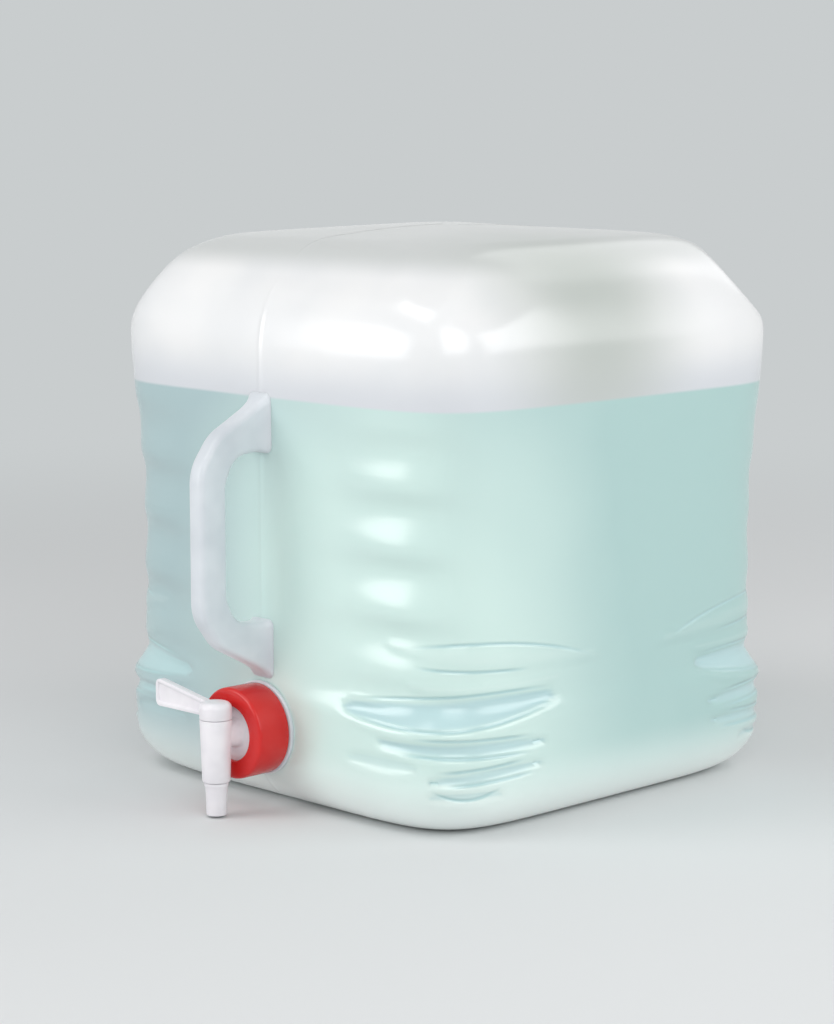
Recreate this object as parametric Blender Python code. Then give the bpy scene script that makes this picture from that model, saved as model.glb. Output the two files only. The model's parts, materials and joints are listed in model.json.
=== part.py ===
"""Collapsible water carrier: a soft cube of milky polyethylene with a moulded handle and a tap.

The bag is one blow moulding on the real object. It is built here in three parts, front panel,
side wall and rear panel, because it collapses front to back: the rear panel travels towards
the front panel while the side wall folds up between them.

Frame: metres, +Z up, the front face with the handle and the tap looks along -Y, and the
origin is the middle of the flat base that the bag stands on.
"""

import math
from collections import namedtuple

import bmesh
import bpy
from mathutils import Matrix, Vector

MM = 0.001

# Gap kept between pieces that touch
FIT_GAP = 0.3 * MM
# How far a cutter runs past what it cuts, and how deep a joined shape sinks into its carrier
CUT_OVERRUN = 6 * MM
EMBED = 0.5 * MM

# Bag
BAG_WIDTH = 266 * MM
BAG_DEPTH = 264 * MM
BAG_HEIGHT = 292 * MM
BAG_WALL = 0.9 * MM
SHOULDER_RADIUS = 48 * MM
BASE_RADIUS = 28 * MM
DOME_RISE = 10 * MM
PANEL_DEPTH = 32 * MM
PLAN_POWER = 6.5

# The upright corners are drawn in between the bag's full foot and its full shoulder
WAIST_DEPTH = 6 * MM
WAIST_REACH = 60 * MM
WAIST_FOOT = 56 * MM
WAIST_FOOT_RISE = 14 * MM
WAIST_FADE = 105 * MM

# Bulges one above the other, each beside an upright corner on the front and rear faces
RIB_PITCH = 31 * MM
RIB_DEPTH = 2.6 * MM
RIB_FIRST_CREST = 80 * MM
RIB_HEADROOM = 29 * MM
RIB_SHIFT = 22 * MM
RIB_REACH = 30 * MM
ROWS_PER_RIB = 4

# Oval fold pockets round the foot of each upright corner
FOLD_FIELD_HEIGHT = 92 * MM
FOLD_FIELD_REACH = 62 * MM
FOLD_DEPTH = 3.2 * MM
FOLD_ROW = 4.2 * MM
FOLD_BASE_FADE = 12 * MM
Fold = namedtuple("Fold", "middle half_height half_width depth shift slant arch")
# Heights are shares of the field's height, widths of its reach, and depths of the fold depth;
# the slant is a rise per run, and a negative depth makes a raised oval
FOLD_SHARES = (
    Fold(0.88, 0.08, 1.0, -0.31, 0.10, -0.02, 0.0),
    Fold(0.59, 0.103, 0.89, 1.0, 0.0, 0.04, 0.038),
    Fold(0.38, 0.061, 0.81, 0.75, 0.05, 0.10, 0.011),
    Fold(0.23, 0.05, 0.55, 0.6, 0.21, 0.16, 0.0),
)

# Flats on the soft shoulder, where the bag was once folded
FLAT_DEPTH = 5.5 * MM
Flat = namedtuple("Flat", "azimuth elevation depth_share")
FLATS = (
    Flat(math.radians(135), math.radians(42), 1.0),
    Flat(math.radians(17), math.radians(46), 0.47),
    Flat(math.radians(74), math.radians(38), 0.44),
    Flat(math.radians(-128), math.radians(44), 0.73),
    Flat(math.radians(-52), math.radians(38), 0.45),
    Flat(math.radians(196), math.radians(50), 0.47),
)

# Carry handle, a C-shaped strap that stands in the bag's parting plane
HANDLE_TOP = 210 * MM
HANDLE_THICKNESS = 11 * MM
HANDLE_REACH = 43 * MM
HANDLE_STRAP = 17 * MM
HANDLE_ROOT = 25 * MM
HANDLE_ARM_RISE = 33 * MM
HANDLE_EDGE_RADIUS = 3.5 * MM
HANDLE_OUTER_BEND = 16 * MM
HANDLE_INNER_BEND = 8 * MM
HANDLE_CLEARANCE = 5 * MM

# Filler neck with a right-hand thread
NECK_RADIUS = 18.4 * MM
NECK_WALL = 1.8 * MM
NECK_LENGTH = 14.5 * MM
NECK_INSERT = 2.5 * MM
COLLAR_RADIUS = 24.2 * MM
COLLAR_THICKNESS = 1.6 * MM
THREAD_PITCH = 4 * MM
THREAD_HEIGHT = 1.5 * MM
THREAD_BASE = 1.8 * MM
THREAD_CREST = 0.9 * MM
NECK_THREAD_TURNS = 2.0
NECK_THREAD_START = 4.8 * MM

# Cap ring, the red nut that holds the tap on the neck
CAP_RADIUS = 23.3 * MM
CAP_BORE = 20.4 * MM
CAP_LIP = 2.3 * MM
CAP_OPENING = 14 * MM
CAP_FRONT_ROUND = 1.6 * MM
CAP_REAR_CHAMFER = 0.7 * MM
CAP_THREAD_TURNS = 2.0

# Sealing washer
WASHER_THICKNESS = 1.5 * MM
WASHER_BORE = 15 * MM

# Tap body: flange, centring plug, boss and upright barrel
FLANGE_THICKNESS = 2 * MM
PLUG_CLEARANCE = 0.4 * MM
CENTRING_DEPTH = 6 * MM
INLET_RADIUS = 3.6 * MM
BOSS_RADIUS = 6.8 * MM
BARREL_AHEAD = 9.6 * MM
BARREL_TOP_RADIUS = 8.2 * MM
BARREL_FOOT_RADIUS = 7.1 * MM
BARREL_RISE = 9 * MM
BARREL_DROP = 23 * MM
BARREL_ROUND = 0.9 * MM

# Valve plug: lever, hub, shaft and spout in one moulding
SHAFT_RADIUS = 5.6 * MM
SPOUT_RADIUS = 5.1 * MM
SPOUT_DROP = 40 * MM
SPOUT_BORE = 3.5 * MM
PORT_RADIUS = 3.2 * MM
BEAD_PROUD = 0.5 * MM
BEAD_HEIGHT = 1.4 * MM
HUB_HEIGHT = 8.6 * MM
HUB_ROUND = 2.6 * MM
LEVER_LENGTH = 45 * MM
LEVER_THICKNESS = 4 * MM
LEVER_TIP_HEIGHT = 14.6 * MM
LEVER_ROOT_HEIGHT = 7.8 * MM
LEVER_CORNER = 3 * MM
LEVER_RIM = 1.7 * MM
LEVER_RECESS = 0.9 * MM
SPOUT_CLEARANCE = 1.3 * MM

# Facets; the plan's points crowd towards the upright corners
POINTS_PER_SIDE = 14
CROWDING = 1.1
ARC_STEPS = 4
BASE_STEPS = 6
LARGE_FACETS = 40
SMALL_FACETS = 28
SMOOTH_ANGLE = math.radians(35)

# Sizes that follow from the ones above
NECK_HEIGHT = SPOUT_DROP + SPOUT_CLEARANCE
FACE_Y = -BAG_DEPTH / 2
CAP_START = COLLAR_THICKNESS + 2 * FIT_GAP
WASHER_START = NECK_LENGTH + FIT_GAP
FLANGE_START = WASHER_START + WASHER_THICKNESS + FIT_GAP
FLANGE_FRONT = FLANGE_START + FLANGE_THICKNESS
LIP_START = FLANGE_FRONT + FIT_GAP
CAP_FRONT = LIP_START + CAP_LIP
BARREL_OFFSET = CAP_FRONT + BARREL_AHEAD
BARREL_BORE = SHAFT_RADIUS + FIT_GAP
HANDLE_FOOT = NECK_HEIGHT + CAP_RADIUS + HANDLE_CLEARANCE
SHOULDER_START = BAG_HEIGHT - DOME_RISE - SHOULDER_RADIUS


def clear_scene():
    """Remove every object that the file opens with."""
    for item in list(bpy.data.objects):
        bpy.data.objects.remove(item, do_unlink=True)


def plastic(name, colour, roughness, alpha=1.0):
    """Return a plain moulded plastic."""
    material = bpy.data.materials.new(name)
    material.use_nodes = True
    shader = material.node_tree.nodes["Principled BSDF"]
    shader.inputs["Base Color"].default_value = (*colour, 1.0)
    shader.inputs["Roughness"].default_value = roughness
    shader.inputs["Metallic"].default_value = 0.0
    shader.inputs["Alpha"].default_value = alpha
    return material


def point_outwards(mesh_data):
    """Turn all faces of a closed shape outwards."""
    bmesh.ops.recalc_face_normals(mesh_data, faces=mesh_data.faces)
    if mesh_data.calc_volume(signed=True) < 0:
        bmesh.ops.reverse_faces(mesh_data, faces=mesh_data.faces)


def to_object(name, mesh_data, parent=None, material=None):
    """Turn a bmesh into an object with its faces pointing out."""
    point_outwards(mesh_data)
    mesh = bpy.data.meshes.new(name)
    mesh_data.to_mesh(mesh)
    mesh_data.free()
    mesh.shade_smooth()
    mesh.set_sharp_from_angle(angle=SMOOTH_ANGLE)
    item = bpy.data.objects.new(name, mesh)
    bpy.context.collection.objects.link(item)
    item.parent = parent
    if material:
        mesh.materials.append(material)
    return item


def make_guide(item):
    """Mark an object as a cutter or a joined shape that isn't a piece itself."""
    item.hide_render = True
    item.display_type = "WIRE"
    return item


def combine(item, other, operation, solver="EXACT"):
    """Cut, join or keep what two closed shapes share."""
    modifier = item.modifiers.new(f"{operation.lower()}_{other.name}", "BOOLEAN")
    modifier.operation = operation
    modifier.solver = solver
    modifier.object = make_guide(other)


def empty(name, location, rotation=(0, 0, 0)):
    """Return an empty that carries the pieces of one axis."""
    item = bpy.data.objects.new(name, None)
    bpy.context.collection.objects.link(item)
    item.location = location
    item.rotation_euler = rotation
    return item


def join_rings(mesh_data, rings, closed_path):
    """Join rows of vertices with faces; a row of one vertex is a pole."""
    pairs = list(zip(rings, rings[1:]))
    if closed_path:
        pairs.append((rings[-1], rings[0]))
    for low, high in pairs:
        count = max(len(low), len(high))
        for index in range(count):
            after = (index + 1) % count
            if len(low) == 1:
                mesh_data.faces.new((low[0], high[index], high[after]))
            elif len(high) == 1:
                mesh_data.faces.new((low[index], high[0], low[after]))
            else:
                mesh_data.faces.new((low[index], low[after], high[after], high[index]))


def turned(name, profile, facets, parent=None, material=None, closed_path=True):
    """Turn a profile of (radius, height) points about the local Z axis."""
    mesh_data = bmesh.new()
    rings = []
    for radius, height in profile:
        if radius == 0:
            rings.append([mesh_data.verts.new((0, 0, height))])
            continue
        ring = []
        for index in range(facets):
            angle = math.tau * index / facets
            ring.append(mesh_data.verts.new((radius * math.cos(angle), radius * math.sin(angle), height)))
        rings.append(ring)
    join_rings(mesh_data, rings, closed_path)
    return to_object(name, mesh_data, parent, material)


def rod(name, radius, start, end, facets, parent=None):
    """Return a solid round bar along the local Z axis."""
    profile = [(0, start), (radius, start), (radius, end), (0, end)]
    return turned(name, profile, facets, parent, closed_path=False)


def block(name, low, high):
    """Return a box between two corners."""
    mesh_data = bmesh.new()
    bmesh.ops.create_cube(mesh_data, size=1)
    low, high = Vector(low), Vector(high)
    scale = Matrix.Diagonal((*(high - low), 1))
    centre = Matrix.Translation((low + high) / 2)
    bmesh.ops.transform(mesh_data, matrix=centre @ scale, verts=mesh_data.verts)
    return to_object(name, mesh_data)


def arc(centre, radius, start, end, steps):
    """Return points on an arc, first and last included; angles in radians."""
    points = []
    for step in range(steps + 1):
        angle = start + (end - start) * step / steps
        points.append((centre[0] + radius * math.cos(angle), centre[1] + radius * math.sin(angle)))
    return points


def rounded_outline(corners, steps):
    """Return an outline whose (point, radius) corners are rounded where the radius isn't zero."""
    points = []
    for index, (here, radius) in enumerate(corners):
        here = Vector(here)
        back = Vector(corners[index - 1][0]) - here
        ahead = Vector(corners[(index + 1) % len(corners)][0]) - here
        if radius == 0:
            points.append(here)
            continue
        half = back.angle(ahead) / 2
        reach = min(radius / math.tan(half), back.length / 2, ahead.length / 2)
        start = here + back.normalized() * reach
        end = here + ahead.normalized() * reach
        centre = here + (back.normalized() + ahead.normalized()).normalized() * reach / math.cos(half)
        for step in range(steps + 1):
            spoke = (start - centre).slerp(end - centre, step / steps).normalized()
            points.append(centre + spoke * (start - centre).length)
    return points


def slab(name, outline, thickness, place, parent=None, material=None):
    """Extrude an outline; place turns (u, v, w) into the parent's coordinates."""
    mesh_data = bmesh.new()
    near = [mesh_data.verts.new(place(u, v, -thickness / 2)) for u, v in outline]
    far = [mesh_data.verts.new(place(u, v, thickness / 2)) for u, v in outline]
    mesh_data.faces.new(near)
    mesh_data.faces.new(list(reversed(far)))
    for index in range(len(outline)):
        after = (index + 1) % len(outline)
        mesh_data.faces.new((near[index], far[index], far[after], near[after]))
    return to_object(name, mesh_data, parent, material)


def plan_ring(inset):
    """Return the bag's plan at one inset from its widest: points and outward normals."""
    half_x = BAG_WIDTH / 2 - inset
    half_y = BAG_DEPTH / 2 - inset
    ring = []
    for turn in range(4):
        for index in range(POINTS_PER_SIDE):
            place = CROWDING * (2 * index / POINTS_PER_SIDE - 1)
            side = Vector((1, math.sin(place) / math.sin(CROWDING)))
            norm = (abs(side.x) ** PLAN_POWER + abs(side.y) ** PLAN_POWER) ** (1 / PLAN_POWER)
            share = Matrix.Rotation(turn * math.pi / 2, 2) @ (side / norm)
            slope_x = math.copysign(abs(share.x) ** (PLAN_POWER - 1) / half_x, share.x)
            slope_y = math.copysign(abs(share.y) ** (PLAN_POWER - 1) / half_y, share.y)
            normal = Vector((slope_x, slope_y)).normalized()
            ring.append((Vector((share.x * half_x, share.y * half_y)), normal))
    return ring


def ease(share):
    """Ease a share from 0 to 1, flat at both ends."""
    share = min(1, max(0, share))
    return share * share * (3 - 2 * share)


def waist_depth(height, along):
    """Return how far the bag is drawn in at one height, most at the upright corners."""
    rise = ease((height - WAIST_FOOT) / WAIST_FOOT_RISE)
    fade = ease((SHOULDER_START + WAIST_FOOT_RISE - height) / WAIST_FADE)
    return WAIST_DEPTH * rise * fade * math.exp(-((along / WAIST_REACH) ** 2))


def rib_depth(height, along):
    """Return how deep the valleys between the bulges are at one place."""
    low = RIB_FIRST_CREST - RIB_PITCH / 2
    high = SHOULDER_START - RIB_HEADROOM
    share = (height - low) / (high - low)
    if not 0 < share < 1:
        return 0
    edge = min(1, share * ROWS_PER_RIB * 2, (1 - share) * ROWS_PER_RIB)
    wave = (1 - math.cos(math.tau * (height - RIB_FIRST_CREST) / RIB_PITCH)) / 2
    return RIB_DEPTH * edge * wave * math.exp(-(((along + RIB_SHIFT) / RIB_REACH) ** 2))


def fold_depth(fold, height, along):
    """Return how deep one fold pocket is at one place."""
    aside = along - fold.shift * FOLD_FIELD_REACH
    across = 1 - (aside / (fold.half_width * FOLD_FIELD_REACH)) ** 2
    if across <= 0:
        return 0
    middle = (fold.middle + fold.arch * (1 - across)) * FOLD_FIELD_HEIGHT + fold.slant * aside
    away = abs(height - middle) / (fold.half_height * FOLD_FIELD_HEIGHT * math.sqrt(across))
    return fold.depth * FOLD_DEPTH * ease((1 - away) * 2) * ease(across * ROWS_PER_RIB)


def relief(point, height):
    """Return how far the bag's wall lies inside its smooth form at one place."""
    along = (abs(point.x) - abs(point.y)) / math.sqrt(2)
    depth = waist_depth(height, along) + rib_depth(height, along)
    depth += sum(fold_depth(fold, height, along) for fold in FOLD_SHARES)
    return depth * ease(height / FOLD_BASE_FADE)


def bag_levels():
    """Return the bag's rows as (height, inset, lean), from the base to the shoulder."""
    levels = []
    for step in range(BASE_STEPS + 1):
        angle = math.pi / 2 * step / BASE_STEPS
        rise = BASE_RADIUS * (1 - math.cos(angle))
        levels.append((rise, BASE_RADIUS * (1 - math.sin(angle)), angle - math.pi / 2))
    stretches = (
        (BASE_RADIUS, FOLD_FIELD_HEIGHT, FOLD_ROW),
        (FOLD_FIELD_HEIGHT, SHOULDER_START - RIB_HEADROOM, RIB_PITCH / ROWS_PER_RIB),
        (SHOULDER_START - RIB_HEADROOM, SHOULDER_START, RIB_HEADROOM / 2),
    )
    for low, high, row in stretches:
        count = max(1, round((high - low) / row))
        levels.extend((low + (high - low) * index / count, 0, 0) for index in range(1, count + 1))
    for step in range(1, ARC_STEPS + 2):
        angle = math.pi / 2 * step / (ARC_STEPS + 1)
        inset = SHOULDER_RADIUS * (1 - math.cos(angle))
        levels.append((SHOULDER_START + SHOULDER_RADIUS * math.sin(angle), inset, angle))
    return levels


def dome_height(inset):
    """Return how much the domed top adds at one inset from the wall."""
    share = 1 - 2 * inset / BAG_WIDTH
    return DOME_RISE * (1 - share * share)


def press_flats(rings):
    """Press each flat into the shoulder: what lies beyond its plane is moved back to it."""
    vertices = [vertex for ring in rings for vertex in ring]
    for flat in FLATS:
        level = math.cos(flat.elevation)
        outward = Vector((math.sin(flat.azimuth) * level, -math.cos(flat.azimuth) * level))
        outward = outward.to_3d() + Vector((0, 0, math.sin(flat.elevation)))
        limit = max(vertex.co.dot(outward) for vertex in vertices) - flat.depth_share * FLAT_DEPTH
        for vertex in vertices:
            vertex.co -= outward * max(0, vertex.co.dot(outward) - limit)


def bag_skin(name, material):
    """Return the whole bag as a hollow shell with its real wall."""
    mesh_data = bmesh.new()
    rings = []
    for height, inset, lean in bag_levels():
        lift = dome_height(inset) if height > SHOULDER_START else 0
        ring = []
        for point, normal in plan_ring(inset):
            depth = relief(point, height)
            side = point - normal * depth * math.cos(lean)
            ring.append(mesh_data.verts.new((side.x, side.y, height + lift - depth * math.sin(lean))))
        rings.append(ring)
    dome_steps = ARC_STEPS - 1
    for step in range(1, dome_steps):
        inset = SHOULDER_RADIUS + (BAG_WIDTH / 2 - SHOULDER_RADIUS) * step / dome_steps
        height = SHOULDER_START + SHOULDER_RADIUS + dome_height(inset)
        shrink = (BAG_WIDTH / 2 - inset) / (BAG_WIDTH / 2 - SHOULDER_RADIUS)
        ring = []
        for point, _ in plan_ring(SHOULDER_RADIUS):
            ring.append(mesh_data.verts.new((point.x * shrink, point.y * shrink, height)))
        rings.append(ring)
    rings.append([mesh_data.verts.new((0, 0, BAG_HEIGHT))])
    press_flats(rings)
    join_rings(mesh_data, rings, closed_path=False)
    mesh_data.faces.new(list(reversed(rings[0])))
    skin = to_object(name, mesh_data, material=material)
    wall = skin.modifiers.new("wall", "SOLIDIFY")
    wall.thickness = BAG_WALL
    wall.offset = -1
    wall.use_even_offset = True
    return skin


def bag_panel(name, low_y, high_y, material):
    """Return the stretch of the bag between two depths."""
    panel = bag_skin(name, material)
    half = BAG_WIDTH / 2 + CUT_OVERRUN
    low = (-half, low_y, -CUT_OVERRUN)
    high = (half, high_y, BAG_HEIGHT + CUT_OVERRUN)
    combine(panel, block(f"{name}_range", low, high), "INTERSECT")
    return panel


def build_bag(tap_axis, film):
    """Build the front panel, the side wall and the rear panel."""
    end = BAG_DEPTH / 2 + CUT_OVERRUN
    split = BAG_DEPTH / 2 - PANEL_DEPTH
    front = bag_panel("bag_front_panel", -end, -split - FIT_GAP / 2, film)
    hole = rod("neck_hole", NECK_RADIUS + FIT_GAP, -BASE_RADIUS, CUT_OVERRUN, LARGE_FACETS, tap_axis)
    # The exact solver turns the folded film inside out here; both meshes are closed
    combine(front, hole, "DIFFERENCE", "MANIFOLD")
    bag_panel("bag_side_wall", -split + FIT_GAP / 2, split - FIT_GAP / 2, film)
    bag_panel("bag_rear_panel", split + FIT_GAP / 2, end, film)


def build_handle(material):
    """Build the C-shaped carry handle on the front face."""
    top, foot = HANDLE_TOP, HANDLE_FOOT
    bend_share, inner_share = 0.72, 0.78
    bend = HANDLE_REACH * bend_share
    inner = HANDLE_REACH - HANDLE_STRAP
    inner_bend = inner * inner_share
    rise = HANDLE_ARM_RISE
    bend_rise = rise / 2
    inner_rise = (rise - HANDLE_ROOT) / 2
    start = FIT_GAP
    corners = [
        ((start, top), 0),
        ((bend, top - bend_rise), HANDLE_OUTER_BEND),
        ((HANDLE_REACH, top - rise), HANDLE_OUTER_BEND),
        ((HANDLE_REACH, foot + rise), HANDLE_OUTER_BEND),
        ((bend, foot + bend_rise), HANDLE_OUTER_BEND),
        ((start, foot), 0),
        ((start, foot + HANDLE_ROOT), 0),
        ((inner_bend, foot + HANDLE_ROOT + inner_rise), HANDLE_INNER_BEND),
        ((inner, foot + HANDLE_ROOT + rise / 2), HANDLE_INNER_BEND),
        ((inner, top - HANDLE_ROOT - rise / 2), HANDLE_INNER_BEND),
        ((inner_bend, top - HANDLE_ROOT - inner_rise), HANDLE_INNER_BEND),
        ((start, top - HANDLE_ROOT), 0),
    ]
    outline = rounded_outline(corners, ARC_STEPS - 1)

    def place(u, v, w):
        return (w, FACE_Y - u, v)

    handle = slab("carry_handle", outline, HANDLE_THICKNESS, place, material=material)
    mesh_data = bmesh.new()
    mesh_data.from_mesh(handle.data)
    root_y = FACE_Y - start - FIT_GAP
    rims = []
    for edge in mesh_data.edges:
        ends = [vert.co for vert in edge.verts]
        along_rim = abs(ends[0].x - ends[1].x) < HANDLE_THICKNESS / 2
        if along_rim and min(point.y for point in ends) < root_y:
            rims.append(edge)
    bmesh.ops.bevel(
        mesh_data,
        geom=rims,
        offset=HANDLE_EDGE_RADIUS,
        segments=2,
        profile=0.5,
        affect="EDGES",
        clamp_overlap=True,
    )
    point_outwards(mesh_data)
    mesh_data.to_mesh(handle.data)
    mesh_data.free()
    handle.data.set_sharp_from_angle(angle=SMOOTH_ANGLE)


def thread_ridge(name, wall, crest, start, turns, first_angle, parent):
    """Return a right-hand thread ridge from a wall radius to a crest radius, faded out at its ends."""
    mesh_data = bmesh.new()
    inward = 1 if crest > wall else -1
    root = wall - inward * EMBED
    buried = wall - inward * EMBED / 2
    steps = int(turns * LARGE_FACETS)
    fade = LARGE_FACETS / 8
    half_base, half_crest = THREAD_BASE / 2, THREAD_CREST / 2
    sections = []
    for step in range(steps + 1):
        angle = first_angle + math.tau * step / LARGE_FACETS
        height = start + THREAD_PITCH * step / LARGE_FACETS
        share = min(1, step / fade, (steps - step) / fade)
        tip = buried + (crest - buried) * share
        section = []
        for radius, shift in ((root, -half_base), (tip, -half_crest), (tip, half_crest), (root, half_base)):
            point = (radius * math.cos(angle), radius * math.sin(angle), height + shift)
            section.append(mesh_data.verts.new(point))
        sections.append(section)
    join_rings(mesh_data, sections, closed_path=False)
    mesh_data.faces.new(sections[0])
    mesh_data.faces.new(list(reversed(sections[-1])))
    return to_object(name, mesh_data, parent)


def build_neck(tap_axis, film):
    """Build the threaded filler neck with its collar."""
    bore = NECK_RADIUS - NECK_WALL
    profile = [
        (bore, -NECK_INSERT),
        (NECK_RADIUS, -NECK_INSERT),
        (NECK_RADIUS, FIT_GAP),
        (COLLAR_RADIUS, FIT_GAP),
        (COLLAR_RADIUS, FIT_GAP + COLLAR_THICKNESS),
        (NECK_RADIUS, FIT_GAP + COLLAR_THICKNESS),
        (NECK_RADIUS, NECK_LENGTH),
        (bore, NECK_LENGTH),
    ]
    neck = turned("filler_neck", profile, LARGE_FACETS, tap_axis, film)
    crest = NECK_RADIUS + THREAD_HEIGHT
    start = NECK_THREAD_START
    ridge = thread_ridge("neck_thread", NECK_RADIUS, crest, start, NECK_THREAD_TURNS, 0, tap_axis)
    combine(neck, ridge, "UNION")


def build_cap(tap_axis, material):
    """Build the cap ring: an internally threaded nut with a lip that traps the flange."""
    round_centre = (CAP_RADIUS - CAP_FRONT_ROUND, CAP_FRONT - CAP_FRONT_ROUND)
    profile = [
        (CAP_BORE, CAP_START),
        (CAP_RADIUS - CAP_REAR_CHAMFER, CAP_START),
        (CAP_RADIUS, CAP_START + CAP_REAR_CHAMFER),
        *arc(round_centre, CAP_FRONT_ROUND, 0, math.pi / 2, ARC_STEPS - 1),
        (CAP_OPENING, CAP_FRONT),
        (CAP_OPENING, LIP_START),
        (CAP_BORE, LIP_START),
    ]
    cap = turned("cap_ring", profile, LARGE_FACETS, tap_axis, material)
    crest = CAP_BORE - THREAD_HEIGHT
    start = NECK_THREAD_START + THREAD_PITCH / 2
    ridge = thread_ridge("cap_thread", CAP_BORE, crest, start, CAP_THREAD_TURNS, 0, tap_axis)
    combine(cap, ridge, "UNION")


def build_washer(tap_axis, material):
    """Build the flat sealing washer between the neck's end and the flange."""
    profile = [
        (WASHER_BORE, WASHER_START),
        (NECK_RADIUS, WASHER_START),
        (NECK_RADIUS, WASHER_START + WASHER_THICKNESS),
        (WASHER_BORE, WASHER_START + WASHER_THICKNESS),
    ]
    turned("sealing_washer", profile, LARGE_FACETS, tap_axis, material)


def build_tap_body(tap_axis, valve_axis, material):
    """Build the tap's body: centring plug, flange and boss, and the upright barrel."""
    plug = WASHER_BORE - PLUG_CLEARANCE
    profile = [
        (0, FLANGE_START - CENTRING_DEPTH),
        (plug, FLANGE_START - CENTRING_DEPTH),
        (plug, FLANGE_START),
        (NECK_RADIUS, FLANGE_START),
        (NECK_RADIUS, FLANGE_FRONT),
        (BOSS_RADIUS, FLANGE_FRONT),
        (BOSS_RADIUS, BARREL_OFFSET),
        (0, BARREL_OFFSET),
    ]
    body = turned("tap_body", profile, LARGE_FACETS, tap_axis, material, closed_path=False)
    barrel_profile = [
        (0, -BARREL_DROP),
        (BARREL_FOOT_RADIUS - BARREL_ROUND, -BARREL_DROP),
        (BARREL_FOOT_RADIUS, -BARREL_DROP + BARREL_ROUND),
        (BARREL_TOP_RADIUS, BARREL_RISE),
        (0, BARREL_RISE),
    ]
    barrel = turned("tap_barrel", barrel_profile, SMALL_FACETS, valve_axis, closed_path=False)
    combine(body, barrel, "UNION")
    low, high = -BARREL_DROP - CUT_OVERRUN, BARREL_RISE + CUT_OVERRUN
    combine(body, rod("shaft_bore", BARREL_BORE, low, high, SMALL_FACETS, valve_axis), "DIFFERENCE")
    rear = FLANGE_START - CENTRING_DEPTH - CUT_OVERRUN
    inlet = rod("inlet_bore", INLET_RADIUS, rear, BARREL_OFFSET, SMALL_FACETS, tap_axis)
    combine(body, inlet, "DIFFERENCE")


def lever_outline(root, inset):
    """Return the lever's upright outline, from one radius to its tip, drawn in by an inset."""
    low = BARREL_RISE + FIT_GAP
    tip = LEVER_LENGTH - inset
    slope = (LEVER_TIP_HEIGHT - LEVER_ROOT_HEIGHT) / (LEVER_LENGTH - SHAFT_RADIUS)
    root_top = low + LEVER_ROOT_HEIGHT + slope * (root - SHAFT_RADIUS) - inset
    tip_top = low + LEVER_ROOT_HEIGHT + slope * (tip - SHAFT_RADIUS) - inset
    corners = [
        ((root, low + inset), 0),
        ((tip, low + inset), LEVER_CORNER),
        ((tip, tip_top), LEVER_CORNER),
        ((root, root_top), 0),
    ]
    return rounded_outline(corners, ARC_STEPS)


def build_valve_plug(valve_axis, material):
    """Build the plug that turns in the barrel, with its lever above and its spout below."""
    hub_base = BARREL_RISE + FIT_GAP
    hub_top = hub_base + HUB_HEIGHT
    bead_top = -BARREL_DROP - FIT_GAP
    round_centre = (BARREL_TOP_RADIUS - HUB_ROUND, hub_top - HUB_ROUND)
    profile = [
        (0, -SPOUT_DROP),
        (SPOUT_RADIUS, -SPOUT_DROP),
        (SHAFT_RADIUS, bead_top - 2 * BEAD_HEIGHT),
        (SHAFT_RADIUS + BEAD_PROUD, bead_top - BEAD_HEIGHT),
        (SHAFT_RADIUS + BEAD_PROUD, bead_top),
        (SHAFT_RADIUS, bead_top),
        (SHAFT_RADIUS, hub_base),
        (BARREL_TOP_RADIUS, hub_base),
        *arc(round_centre, HUB_ROUND, 0, math.pi / 2, ARC_STEPS - 1),
        (0, hub_top),
    ]
    plug = turned("valve_plug", profile, SMALL_FACETS, valve_axis, material, closed_path=False)

    blade = lever_outline(SHAFT_RADIUS, 0)
    lever = slab("lever_blade", blade, LEVER_THICKNESS, lambda u, v, w: (-u, w, v), valve_axis)
    combine(plug, lever, "UNION")
    recess = lever_outline(BARREL_TOP_RADIUS + LEVER_RIM, LEVER_RIM)
    for side in (-1, 1):
        shift = side * LEVER_THICKNESS / 2
        pocket = slab(
            f"lever_pocket_{side + 1}",
            recess,
            2 * LEVER_RECESS,
            lambda u, v, w, shift=shift: (-u, w + shift, v),
            valve_axis,
        )
        combine(plug, pocket, "DIFFERENCE")
    spout = rod("spout_bore", SPOUT_BORE, -SPOUT_DROP - CUT_OVERRUN, PORT_RADIUS, SMALL_FACETS, valve_axis)
    combine(plug, spout, "DIFFERENCE")
    port = rod("side_port", PORT_RADIUS, 0, SHAFT_RADIUS + CUT_OVERRUN, SMALL_FACETS, valve_axis)
    port.rotation_euler = (0, math.pi / 2, 0)
    combine(plug, port, "DIFFERENCE")


def main():
    """Build the whole carrier."""
    clear_scene()
    milky_film = plastic("milky_polyethylene", (0.80, 0.86, 0.86), 0.35, 0.85)
    handle_plastic = plastic("solid_polyethylene", (0.84, 0.85, 0.87), 0.40)
    red_plastic = plastic("red_polypropylene", (0.76, 0.03, 0.02), 0.35)
    white_plastic = plastic("white_polyethylene", (0.88, 0.87, 0.89), 0.35)
    washer_rubber = plastic("washer_rubber", (0.72, 0.71, 0.68), 0.70)
    tap_axis = empty("tap_axis", (0, FACE_Y, NECK_HEIGHT), (math.pi / 2, 0, 0))
    valve_axis = empty("valve_axis", (0, FACE_Y - BARREL_OFFSET, NECK_HEIGHT))
    build_bag(tap_axis, milky_film)
    build_handle(handle_plastic)
    build_neck(tap_axis, milky_film)
    build_cap(tap_axis, red_plastic)
    build_washer(tap_axis, washer_rubber)
    build_tap_body(tap_axis, valve_axis, white_plastic)
    build_valve_plug(valve_axis, white_plastic)


main()
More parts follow.
